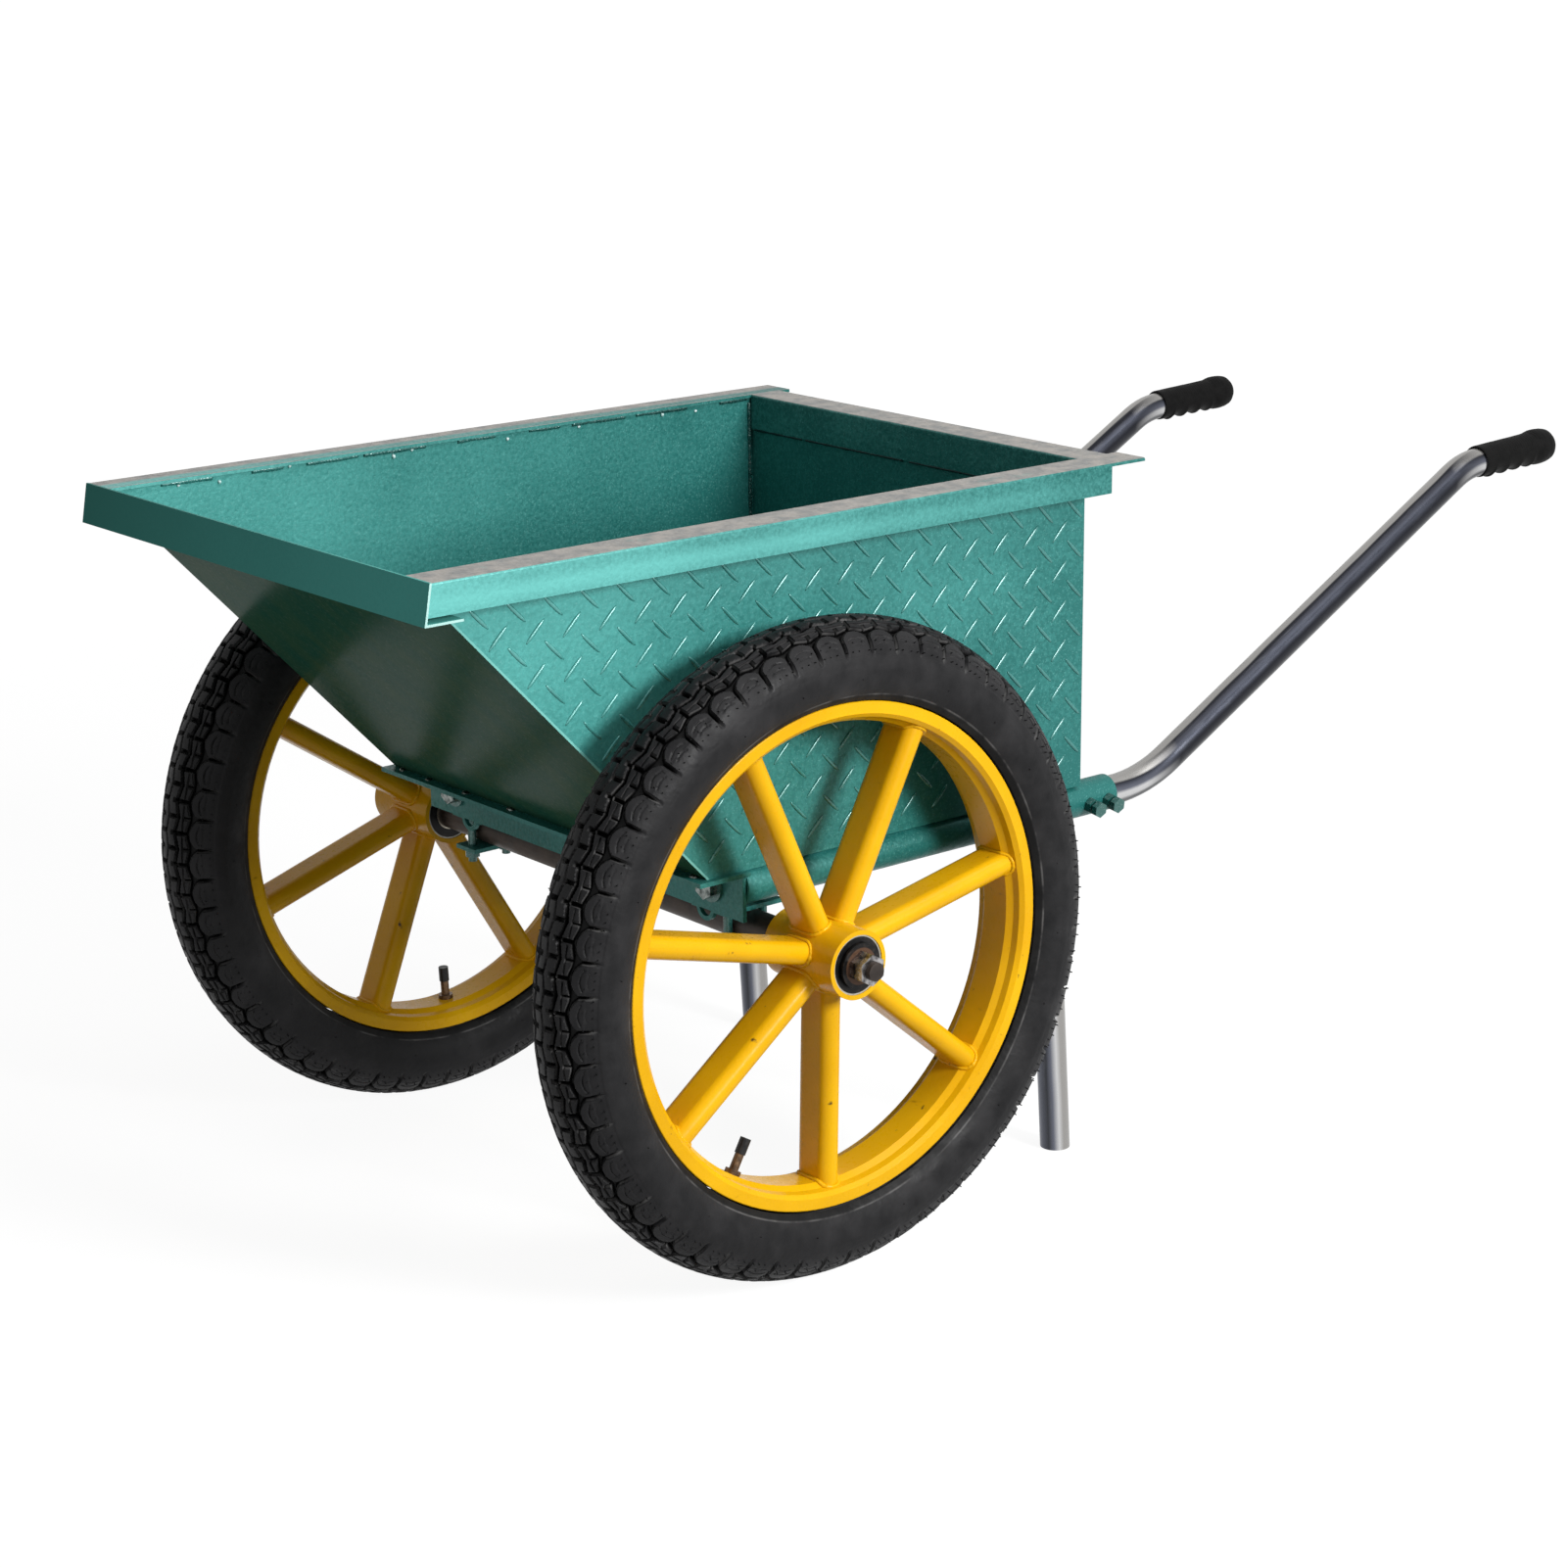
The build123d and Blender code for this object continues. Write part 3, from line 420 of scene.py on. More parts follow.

# %% [markdown]
# ## Rubbed rail
# Hands, sacks and shovels rub the paint off the level flange of the rim until it shows a warm
# grey, while the upright leg keeps its colour. The share of bare grey therefore follows how far
# the surface faces up, broken by noise so that it ends in patches and not in a line. The right
# rail is rubbed on its outer strip only. The upright leg carries a painted highlight: a soft
# bright band along its middle, lighter towards the front, painted on here as a lighter green.

# %% Rubbed rail paint
rubbed_grey = (0.345, 0.322, 0.292)
rubbed_dark = (0.205, 0.208, 0.202)
rail_deep = (0.007, 0.108, 0.097)
rail_light = (0.110, 0.420, 0.390)
rail_painted_highlight = (0.125, 0.460, 0.425)
rail_band_top = 0.6465
rail_band_full = 0.6385
rail_foot_full = 0.6355
rail_foot_low = 0.6285
right_wear_edge = -0.2465
right_inner_face = -0.2320
wear_soft = 0.003
tree, shader, rail_green = green_paint("rail_paint", rail_deep, rail_light, green_flake)
upward = remap(tree, facing(tree, (0, 0, 1)), 0.75, 0.95)
patch = remap(tree, grain(tree, 38, 4.0, (0.6, 1, 1)), 0.20, 0.36)
worn = remap(tree, grain(tree, 70, 6.0), 0.36, 0.60)
grey = mix(tree, worn, rubbed_dark, rubbed_grey)
height = place_along(tree, "Z")
# Painted highlight: a lighter band along the middle of the upright leg, fading at its foot and
# towards the back.
painted_highlight_band = remap(tree, height, rail_band_top, rail_band_full)
rail_foot = remap(tree, height, rail_foot_low, rail_foot_full, 0.35, 1.0)
painted_highlight_band = combine(tree, "MULTIPLY", painted_highlight_band, rail_foot)
forward = remap(tree, place_along(tree, "X"), tub_back, tub_front, 0.04, 0.9)
rail_green = mix(tree, combine(tree, "MULTIPLY", painted_highlight_band, forward), rail_green, rail_painted_highlight)
aside = place_along(tree, "Y")
right_outer = remap(tree, aside, right_wear_edge + wear_soft, right_wear_edge - wear_soft)
other_rails = remap(tree, aside, right_inner_face - 0.0005, right_inner_face + 0.0005)
rubbed = combine(tree, "MULTIPLY", upward, patch)
rubbed = combine(tree, "MULTIPLY", rubbed, combine(tree, "MAXIMUM", right_outer, other_rails))
tree.links.new(mix(tree, rubbed, rail_green, grey), shader.inputs["Base Color"])
print("rail paint ready")

# %% [markdown]
# ## Galvanised tube
# Handles and legs are bright zinc-plated tube, with draw marks along the tube. The reflections
# of a round tube are painted into its colour: a pale strip on top, a dark blue-grey band under
# it, a softer light towards the ground and white painted highlights. The bands follow the tube's
# own surface direction, so they turn with it.

# %% Tube plating
zinc_pale_reflection = (0.320, 0.312, 0.300)
zinc_dark_reflection = (0.020, 0.021, 0.027)
zinc_soft_reflection = (0.045, 0.049, 0.064)
zinc_mid_reflection = (0.130, 0.138, 0.172)
zinc_low_reflection = (0.040, 0.042, 0.048)
zinc_white_highlight = (0.560, 0.560, 0.565)
zinc_streak = (0.30, 0.31, 0.34)
slant_low_x = axle_x - 0.468
slant_high_x = axle_x - 0.892
bend_soft = 0.022


def plated_tube(name, direction, stops, along, level_stops=()):
    """Zinc plating with painted reflection bands set by the way the tube's surface faces, on its
    slant and level runs.
    """
    material, tree, shader = new_finish(name, 0.28, 0.90)
    wander = remap(tree, grain(tree, 9, 2.0), 0.3, 0.7, -0.05, 0.05)
    lean = combine(tree, "ADD", facing(tree, direction), wander)
    # Painted reflections: the colour follows how the surface faces.
    colour = bands(tree, lean, stops)
    if level_stops:
        spot = place_along(tree, "X")
        low_end = remap(tree, spot, slant_low_x - bend_soft, slant_low_x + bend_soft)
        high_end = remap(tree, spot, slant_high_x + bend_soft, slant_high_x - bend_soft)
        level = combine(tree, "ADD", low_end, high_end)
        colour = mix(tree, level, colour, bands(tree, lean, level_stops))
    streak = remap(tree, grain(tree, 260, 3.0, along), 0.58, 0.78, 0.0, 0.10)
    colour = mix(tree, streak, colour, zinc_streak)
    tree.links.new(colour, shader.inputs["Base Color"])
    pitted = grain(tree, 420, 3.0, along)
    tree.links.new(remap(tree, pitted, 0.3, 0.7, 0.24, 0.34), shader.inputs["Roughness"])
    relief(tree, shader, pitted, 0.000006)
    finishes[name] = material


# Painted reflection and highlight bands for the handles, with their level runs, and for the legs.
plated_tube("galvanised_tube", (-0.364, 0.650, -0.667), (
    (-1.0, zinc_pale_reflection), (-0.66, zinc_pale_reflection), (-0.57, zinc_dark_reflection), (-0.26, zinc_dark_reflection),
    (0.06, zinc_soft_reflection), (0.2, zinc_soft_reflection), (0.5, zinc_dark_reflection), (1.0, zinc_low_reflection)), (0.10, 1, 0.10), (
    (-1.0, zinc_pale_reflection), (-0.08, zinc_pale_reflection), (0.06, zinc_dark_reflection), (0.20, zinc_soft_reflection),
    (0.50, zinc_mid_reflection), (0.66, zinc_white_highlight), (0.82, zinc_white_highlight), (0.93, zinc_low_reflection)))
plated_tube("leg_tube", (-0.55, 0.80, 0), (
    (-1.0, zinc_mid_reflection), (-0.2, zinc_low_reflection), (0.15, zinc_mid_reflection), (0.50, zinc_white_highlight),
    (0.74, zinc_pale_reflection), (0.90, zinc_pale_reflection), (1.0, zinc_pale_reflection)), (1, 1, 0.08))
print("tube finishes ready")

# %% [markdown]
# ## Yellow enamel
# Rims, spokes and hubs are sprayed with a thick yellow gloss. Stones chip it to dark steel, and
# dust clings to the lower gloss, so the colour is broken by small scuffs and the shine by a
# slow change of roughness. A coat layer keeps the wet look of fresh enamel.

# %% Yellow enamel
yellow_deep = (0.70, 0.360, 0.002)
yellow_light = (0.80, 0.440, 0.004)
yellow_scuff = (0.30, 0.130, 0.004)
chip_steel = (0.035, 0.022, 0.012)
material, tree, shader = new_finish("yellow_paint", 0.30, 0.0, 0.14, 0.03)
yellow = mix(tree, remap(tree, grain(tree, 14, 2.0), 0.3, 0.7), yellow_deep, yellow_light)
chips = remap(tree, grain(tree, 75, 5.0), 0.70, 0.76)
scuffs = remap(tree, grain(tree, 120, 2.0, (1, 0.3, 1)), 0.72, 0.80, 0.0, 0.6)
yellow = mix(tree, scuffs, yellow, yellow_scuff)
yellow = mix(tree, chips, yellow, chip_steel)
tree.links.new(yellow, shader.inputs["Base Color"])
peel = grain(tree, 210, 2.0)
tree.links.new(remap(tree, peel, 0.3, 0.7, 0.24, 0.38), shader.inputs["Roughness"])
relief(tree, shader, peel, 0.00012)
finishes["yellow_paint"] = material
print("yellow ready")

# %% [markdown]
# ## Rubber, plastic and bare steel
# The small finishes share one recipe: two colours mixed by noise, a rough or smooth skin and a
# fine relief. Only their numbers differ, so one function makes them all from a short list.

# %% Small finishes
def plain_finish(name, first, second, scale, roughness, metallic, depth, specular=0.5):
    """Two colours mixed by noise, with a roughness that follows the same grain."""
    material, tree, shader = new_finish(name, roughness, metallic, specular)
    speck = grain(tree, scale, 4.0)
    colour = mix(tree, remap(tree, speck, 0.35, 0.65), first, second)
    tree.links.new(colour, shader.inputs["Base Color"])
    low = roughness - 0.10
    tree.links.new(remap(tree, speck, 0.3, 0.7, low, roughness + 0.12), shader.inputs["Roughness"])
    relief(tree, shader, grain(tree, 3 * scale, 2.0), depth)
    finishes[name] = material


plain_finish("grip_rubber", (0.0038, 0.0038, 0.0038), (0.0072, 0.0071, 0.0070),
             150, 0.55, 0.0, 0.00015, 0.05)
plain_finish("tube_rubber", (0.0070, 0.0070, 0.0070), (0.0120, 0.0115, 0.0110),
             80, 0.60, 0.0, 0.00010)
plain_finish("seal_rubber", (0.0030, 0.0030, 0.0034), (0.0070, 0.0068, 0.0066),
             200, 0.42, 0.0, 0.00008, 0.20)
plain_finish("black_plastic", (0.0040, 0.0040, 0.0044), (0.0100, 0.0098, 0.0096),
             260, 0.38, 0.0, 0.00008, 0.30)
plain_finish("axle_steel", (0.022, 0.016, 0.013), (0.060, 0.046, 0.038),
             55, 0.50, 0.55, 0.00020)
plain_finish("weathered_steel", (0.050, 0.042, 0.040), (0.180, 0.165, 0.160),
             110, 0.32, 0.85, 0.00012)
plain_finish("bright_bolt", (0.050, 0.062, 0.058), (0.300, 0.330, 0.315),
             170, 0.24, 0.92, 0.00012)
plain_finish("nut_steel", (0.060, 0.056, 0.056), (0.420, 0.410, 0.410),
             170, 0.24, 0.95, 0.00010)
plain_finish("bearing_steel", (0.240, 0.215, 0.165), (0.420, 0.395, 0.330),
             140, 0.34, 0.80, 0.00006)
# Pale colour for the weld spatter, as painted glints.
plain_finish("spatter_painted_glint", (0.420, 0.640, 0.620), (0.760, 0.860, 0.850),
             300, 0.26, 0.0, 0.00010)
plain_finish("valve_brass", (0.075, 0.045, 0.026), (0.180, 0.110, 0.060),
             240, 0.36, 0.75, 0.00008)
print("finishes", sorted(finishes))

# %% [markdown]
# ## Tyre rubber
# A tyre is not one black. Groove floors are darkened as painted shade, the edges of the blocks
# are scrubbed grey by the road and lightened further as a painted highlight, and dust lies on
# the sidewall. The tread is modelled further down and stores how deep the mould has cut at each
# point under the name "cut", and a painted shadow next to the rim, which this finish reads to
# choose a tone.

# %% Tyre rubber
rubber_dark = (0.0085, 0.0085, 0.0092)
rubber_grey = (0.0142, 0.0140, 0.0148)
rubber_dust = (0.0330, 0.0322, 0.0335)
rubber_scrub_highlight = (0.1050, 0.1030, 0.1020)
rubber_shade = (0.0012, 0.0012, 0.0013)
material, tree, shader = new_finish("tyre_rubber", 0.48, 0.0, 0.12)
rubber = mix(tree, remap(tree, grain(tree, 60, 4.0), 0.35, 0.65), rubber_dark, rubber_grey)
dust = remap(tree, grain(tree, 24, 7.0), 0.50, 0.72, 0.0, 0.60)
rubber = mix(tree, dust, rubber, rubber_dust)
cut = node(tree, "ShaderNodeAttribute", attribute_name="cut").outputs["Fac"]
# Block edges: grey road wear and a painted highlight.
scrub_highlight = remap(tree, grain(tree, 45, 3.0), 0.40, 0.62, 0.0, 0.85)
edge = combine(tree, "MULTIPLY", remap(tree, cut, 0.09, 0.28), scrub_highlight)
rubber = mix(tree, edge, rubber, rubber_scrub_highlight)
# Painted shade in the groove floors and painted shadow next to the rim.
rubber = mix(tree, remap(tree, cut, 0.34, 0.62), rubber, rubber_shade)
tree.links.new(rubber, shader.inputs["Base Color"])
tree.links.new(remap(tree, grain(tree, 60, 4.0), 0.3, 0.7, 0.38, 0.60), shader.inputs["Roughness"])
relief(tree, shader, grain(tree, 180, 2.0), 0.00035)
finishes["tyre_rubber"] = material
print("tyre rubber ready")

# %% [markdown]
# ## Hub rings
# Seen from its end, the hub is a target: a thin pale ring of bearing steel, a broad black seal, a
# brown greasy ring and the nut. Pieces as small as that need no extra geometry, only a colour
# that changes with the distance from the axle line.

# %% Hub rings
ring_reach = 40.0
ring_wear = (0.06, 0.045, 0.035)


def ring_finish(name, roughness, metallic, stops):
    """Colours by distance from the axle line, given in millimetres."""
    material, tree, shader = new_finish(name, roughness, metallic, 0.25)
    place = node(tree, "ShaderNodeTexCoord")
    flat = node(tree, "ShaderNodeMapping")
    flat.inputs["Location"].default_value = (-axle_x / MM, 0, -axle_z / MM)
    flat.inputs["Scale"].default_value = (1 / MM, 0, 1 / MM)
    tree.links.new(place.outputs["Object"], flat.inputs["Vector"])
    away = node(tree, "ShaderNodeVectorMath", operation="LENGTH")
    tree.links.new(flat.outputs["Vector"], away.inputs[0])
    ramp = node(tree, "ShaderNodeValToRGB")
    spread = ramp.color_ramp.elements
    while len(spread) < len(stops):
        spread.new(0.5)
    for element, (distance, colour) in zip(spread, stops):
        element.position = distance / ring_reach
        element.color = (*colour, 1)
    tree.links.new(remap(tree, away.outputs["Value"], 0, ring_reach), ramp.inputs["Fac"])
    worn = remap(tree, grain(tree, 220, 3.0), 0.50, 0.80, 0.0, 0.5)
    colour = mix(tree, worn, ramp.outputs["Color"], ring_wear)
    tree.links.new(colour, shader.inputs["Base Color"])
    relief(tree, shader, grain(tree, 400, 2.0), 0.00005)
    finishes[name] = material


seal_black = (0.004, 0.004, 0.004)
grease_brown = (0.085, 0.042, 0.022)
ring_pale = (0.450, 0.430, 0.370)
ring_finish("bearing_face", 0.35, 0.3, (
    (20.0, seal_black), (24.4, seal_black), (24.8, ring_pale), (26.0, ring_pale)))
ring_finish("greasy_washer", 0.35, 0.3, (
    (12.0, grease_brown), (15.6, grease_brown), (16.4, seal_black), (20.0, seal_black)))
print("hub rings ready")

# %% [markdown]
# ## Paint the CAD nodes
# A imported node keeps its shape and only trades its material. The record already says which slot
# each node belongs to, so most nodes take the finish named like their slot, and a short list
# names the few that differ, such as the front sheet, the rubbed rails, the legs and the hub rings.

# %% Paint nodes
own_finish = {
    "front_panel": "front_paint",
    "bearing_rings_left": "bearing_face", "bearing_rings_right": "bearing_face",
    "axle_end_washers": "greasy_washer", "axle_end_nuts": "nut_steel",
    "top_rail_left": "rail_paint", "top_rail_right": "rail_paint", "rear_top_angle": "rail_paint",
    "leg_left": "leg_tube", "leg_right": "leg_tube",
    "saddle_bolts": "bright_bolt",
}
slot_of = {}
for name, made in nodes.items():
    slot_of[name] = made.data.materials[0].name.split(".")[0]
    finish = own_finish.get(name, slot_of[name])
    made.data.materials.clear()
    made.data.materials.append(finishes[finish])
print("painted", len(slot_of), "nodes in", len(set(slot_of.values())), "slots")

# %% [markdown]
# ## Placing new pieces
# New pieces are measured in millimetres from the axle line, as on a workshop sketch. One helper
# turns lists of points and faces into an object, gives it a finish, taken from its slot's name
# unless another is given, and ties it to the body it moves with.

# %% Piece helper
def add_piece(name, body, slot, points, faces, finish=None, smooth=True):
    """A mesh piece from points in millimetres (x from the axle, y, z from the ground)."""
    spots = np.asarray(points, dtype=float) * MM
    spots[:, 0] += axle_x
    mesh = bpy.data.meshes.new(name)
    mesh.from_pydata(spots.tolist(), [], faces)
    mesh.validate()
    mesh.polygons.foreach_set("use_smooth", [smooth] * len(mesh.polygons))
    mesh.materials.append(finishes[finish or slot])
    piece = bpy.data.objects.new(name, mesh)
    scene.collection.objects.link(piece)
    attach(piece, body)
    print(name, len(mesh.vertices), "points", len(mesh.polygons), "faces")
    return piece


def grid_faces(rows, columns, wrap_rows=False, wrap_columns=False, start=0):
    """Quads over a grid of points laid row after row."""
    faces = []
    for row in range(rows if wrap_rows else rows - 1):
        after = (row + 1) % rows
        for column in range(columns if wrap_columns else columns - 1):
            beside = (column + 1) % columns
            faces.append((
                start + row * columns + column,
                start + row * columns + beside,
                start + after * columns + beside,
                start + after * columns + column,
            ))
    return faces


# %% [markdown]
# ## Block-tread tyres
# The tyre is moulded: rounded shoulder blocks, a second row and a crown row cut into small
# blocks by cross grooves and notches, and zigzag channels between them. Little rubber hairs stay
# where the mould was vented. Modelling every block by hand would take days and a displacement
# map would need a huge flat mesh, so the tyre is turned like a pot: a round section swept about
# the axle, whose radius drops wherever the tread drawing says groove.

# %% Tread drawing
section_centre = 248.0
section_radius = 40.0
pitch_count = 60
steps_per_pitch = 24
foot_arc = 92.0
tread_depth = 6.4
first_channel = 12.4
second_channel = 25.6
crown_row_end = 12.0
middle_row_start = 13.0
middle_row_end = 26.0
notch_start = 19.0
lobe_start = 27.0
lobe_reach = 9.0
shoulder_end = 52.0
mark_start = 33.5
worn_end = 50.0
ring_height = 0.45


def groove(distance, half_width, soft=0.5):
    """One on a groove's floor, zero outside, with sloping walls."""
    return np.clip((half_width + soft - np.abs(distance)) / (2 * soft), 0, 1)


def tread_cut(arc, turn):
    """How deep the mould cuts at an arc length from the crown and a turn counted in pitches."""
    reach = np.abs(arc)
    phase = (turn + np.where(arc < 0, 0.5, 0.0)) % 1.0
    saw = np.abs(2 * phase - 1)
    pitch_length = 2 * math.pi * section_centre / pitch_count
    along = (phase - 0.5) * pitch_length
    to_joint = pitch_length / 2 - np.abs(along)

    centre = groove(arc - 1.5 * (2 * np.abs(2 * (turn % 1.0) - 1) - 1), 0.7) * 0.8
    first = groove(reach - first_channel - 1.9 * (2 * saw - 1), 1.7)
    inner_cross = groove(to_joint, 1.5) * (reach > 1.0) * (reach < crown_row_end)
    inner_notch = groove(along, 1.2) * (reach > 5.0) * (reach < crown_row_end) * 0.9
    second = groove(reach - second_channel - 1.6 * np.cos(2 * math.pi * phase), 1.4)
    in_middle = (reach > middle_row_start) * (reach < middle_row_end)
    middle_cross = groove(along, 1.4) * in_middle
    middle_notch = groove(to_joint, 1.0) * in_middle * (reach > notch_start) * 0.8
    middle_sipe = groove(reach - 19.3, 0.5) * (np.abs(along) > 2.5) * 0.5

    lobe_edge = lobe_start + lobe_reach * saw ** 2.6
    open_neck = np.clip((lobe_edge - reach) / 1.4, 0, 1) * (reach > middle_row_end)
    fade = np.clip((shoulder_end - reach) / 14.0, 0, 1)
    between = groove(to_joint, 1.1) * (reach > 30.0) * fade
    bow = mark_start + 7.0 * (2 * np.abs(along) / pitch_length) ** 2
    inner_mark = groove(reach - bow, 0.5) * (np.abs(along) < 8.0) * 0.22
    second_mark = groove(reach - bow - 6.0, 0.5) * (np.abs(along) < 6.0) * 0.16
    cuts = (centre, first, inner_cross, inner_notch, second, middle_cross, middle_notch,
            middle_sipe, open_neck, between, inner_mark, second_mark)
    block = np.floor(turn + np.where(arc < 0, 0.5, 0.0)) + 7.0 * np.floor(reach / 13.0)
    uneven = 0.45 * (0.5 + 0.5 * np.sin(12.9 * block)) * (reach < worn_end)
    return np.maximum(tread_depth * np.max(np.stack(cuts), axis=0), uneven)


def sidewall_swell(arc):
    """Raised rings on the bare sidewall, and the thick bead at the rim."""
    reach = np.abs(arc)
    rings = ring_height * groove(reach - 61.0, 0.6) + ring_height * groove(reach - 82.0, 0.8)
    return rings + 0.7 * np.clip((reach - 85.0) / 4.0, 0, 1)


# %% Turn the tyres
fine = np.linspace(-56, 56, 141)
plain = np.linspace(58.5, foot_arc, 13)
arcs = np.concatenate((-plain[::-1], fine, plain))
wall_inside = 8.0
hollow = np.linspace(foot_arc, -foot_arc, 16)
turn_steps = pitch_count * steps_per_pitch
tread_edge = 45.0
bead_shade_arc = 86.0
bead_shade = 0.6
sharp_edge = math.radians(38)
nib_sides = 5
nib_rings = ((40, 70.0, 1.6), (420, 46.0, 2.6), (300, 38.0, 2.2))


def turned_tyre(name, side):
    """One tyre as a closed turned skin, about its own wheel centre."""
    turns = np.arange(turn_steps) / steps_per_pitch
    arc, turn = np.meshgrid(arcs, turns)
    cut = tread_cut(arc, turn)
    reach = section_radius - cut + sidewall_swell(arc)
    reach = np.minimum(reach, section_radius + ring_height)
    reach = np.where(np.abs(arc) < tread_edge, np.minimum(reach, section_radius), reach)
    lean = arc / section_radius
    inside_lean = np.tile(hollow / section_radius, (turn_steps, 1))
    inside_reach = np.full_like(inside_lean, section_radius - wall_inside)
    lean = np.concatenate((lean, inside_lean), axis=1)
    reach = np.concatenate((reach, inside_reach), axis=1)
    radius = section_centre + reach * np.cos(lean)
    across = side * (wheel_y / MM + reach * np.sin(lean))
    angle = np.repeat((2 * math.pi * turns / pitch_count)[:, None], lean.shape[1], axis=1)
    points = np.stack((
        radius * np.cos(angle),
        across,
        axle_z / MM - radius * np.sin(angle),
    ), axis=-1).reshape(-1, 3)
    faces = grid_faces(turn_steps, lean.shape[1], True, True)
    if side < 0:
        faces = [face[::-1] for face in faces]
    points, faces = add_nibs(points.tolist(), faces, side)
    tyre = add_piece("tread_tyre_" + name, "wheel_" + name, "tyre_rubber", points, faces)
    depth = np.zeros(len(points))
    # Next to the rim the value is a painted shadow where tyre meets rim, not a cut depth.
    outside = np.where(np.abs(arc) > bead_shade_arc, bead_shade, cut / tread_depth)
    outer = np.concatenate((outside, inside_lean * 0), axis=1)
    depth[:outer.size] = outer.reshape(-1)
    tyre.data.attributes.new("cut", "FLOAT", "POINT").data.foreach_set("value", depth)
    tyre.data.set_sharp_from_angle(angle=sharp_edge)
    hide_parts("tyre_" + name)


def add_nibs(points, faces, side):
    """Little rubber hairs where the mould was vented, on both shoulders and sidewalls."""
    for count, arc, height in nib_rings:
        for nib in range(count):
            angle = 2 * math.pi * (nib + 0.3 * (nib % 3)) / count
            lean = arc / section_radius * (1 if nib % 2 else -1)
            tall = height * (0.7 + 0.3 * math.sin(2.3 * nib))
            one_nib(points, faces, side, angle, lean, tall)
    return points, faces


def one_nib(points, faces, side, angle, lean, tall):
    """One hair, five-sided, thinner at its tip."""
    start = len(points)
    for width, reach in ((0.7, section_radius - 1.0), (0.4, section_radius + tall)):
        for corner in range(nib_sides):
            swing = 2 * math.pi * corner / nib_sides
            turn = angle + width * math.cos(swing) / section_centre
            tilt = lean + width * math.sin(swing) / section_radius
            radius = section_centre + reach * math.cos(tilt)
            points.append((
                radius * math.cos(turn),
                side * (wheel_y / MM + reach * math.sin(tilt)),
                axle_z / MM - radius * math.sin(turn),
            ))
    faces.extend(grid_faces(2, nib_sides, False, True, start))
    faces.append(tuple(range(start + nib_sides, start + 2 * nib_sides)))
    faces.append(tuple(range(start + nib_sides - 1, start - 1, -1)))


for name, side in sides.items():
    turned_tyre(name, side)

# %% [markdown]
# ## Tread-plate bars
# The tub's sides are rolled tread plate: lens-shaped bars in two crossing directions on a
# 36 mm lattice. They catch the light one by one, so they are real bumps and not a bump map.
# Each bar is a small grid bulged to a lens and closed underneath, and all of a side join into
# one piece. Bars that would cross the panel's edge are left out.

# %% Bars
lattice_x = 35.75
lattice_z = 36.2
first_x = -8.25
first_z = 375.2
bar_length = 27.0
bar_width = 4.4
bar_height = 1.4
bar_lean = math.radians(45)
panel_face = 235.0
floor_line = 352.0
rail_line = 629.0
panel_rear = -360.0
slope_foot = 71.2
slope_run = 256.0 / 268.0
slope_stretch = 1.38
bar_rows = 13
bar_columns = 5
bar_tip = 0.22
bar_sunk = 0.25
edge_room = 1.0
steps_along = range(-22, 22)
steps_up = range(-2, 16)


def inside_panel(x, z, margin):
    """Whether a point lies on the side panel, away from its edges."""
    front = slope_foot + (z - floor_line) * slope_run
    return (panel_rear + margin < x < front - slope_stretch * margin
            and floor_line + margin < z < rail_line - margin)


def lens_bar(points, faces, x, z, lean, side):
    """Adds one raised bar, sunk a little into the plate."""
    start = len(points)
    for row in range(bar_rows):
        along = -1 + 2 * row / (bar_rows - 1)
        half = bar_width / 2 * (bar_tip + (1 - bar_tip) * (1 - abs(along) ** 3.2))
        for column in range(bar_columns):
            across = -1 + 2 * column / (bar_columns - 1)
            rise = bar_height * (1 - across ** 2) * (1 - along ** 6) - bar_sunk
            u = along * bar_length / 2
            v = across * half
            points.append((
                x + u * math.cos(lean) - v * math.sin(lean),
                side * (panel_face + rise),
                z + u * math.sin(lean) + v * math.cos(lean),
            ))
    made = grid_faces(bar_rows, bar_columns, start=start)
    rim = [start + column for column in range(bar_columns)]
    rim += [start + row * bar_columns + bar_columns - 1 for row in range(1, bar_rows)]
    last = start + (bar_rows - 1) * bar_columns
    rim += [last + column for column in range(bar_columns - 2, -1, -1)]
    rim += [start + row * bar_columns for row in range(bar_rows - 2, 0, -1)]
    made.append(tuple(rim[::-1]))
    faces.extend(made if side < 0 else [face[::-1] for face in made])


for name, side in sides.items():
    points = []
    faces = []
    bars = 0
    for step_x in steps_along:
        for step_z in steps_up:
            if (step_x + step_z) % 2:
                continue
            x = first_x + step_x * lattice_x / 2
            z = first_z + step_z * lattice_z / 2
            lean = bar_lean if step_x % 2 else -bar_lean
            run = 0.5 * bar_length * math.cos(lean)
            rise = 0.5 * bar_length * math.sin(lean)
            tips = ((x + run, z + rise), (x - run, z - rise))
            if all(inside_panel(*tip, edge_room) for tip in tips):
                lens_bar(points, faces, x, z, lean, side)
                bars += 1
    add_piece("tread_bars_" + name, "cart", "green_paint", points, faces, "green_bar")
    print("bars", name, bars)

# %% [markdown]
# ## Weld beads
# The tub is stick-welded. A bead is a row of overlapping ripples, and it wanders: so each bead
# is a thin tube along the joint whose radius swells with every ripple and drifts with slow
# waves. The same function runs straight seams in the tub and rings round the spokes, and very
# short beads make the drops of spatter that stay beside a seam. The tub's beads are coloured
# near-black with bright flecks as painted shade and glints, and the spatter pale as painted glints.

# %% Weld bead tool
bead_sides = 7


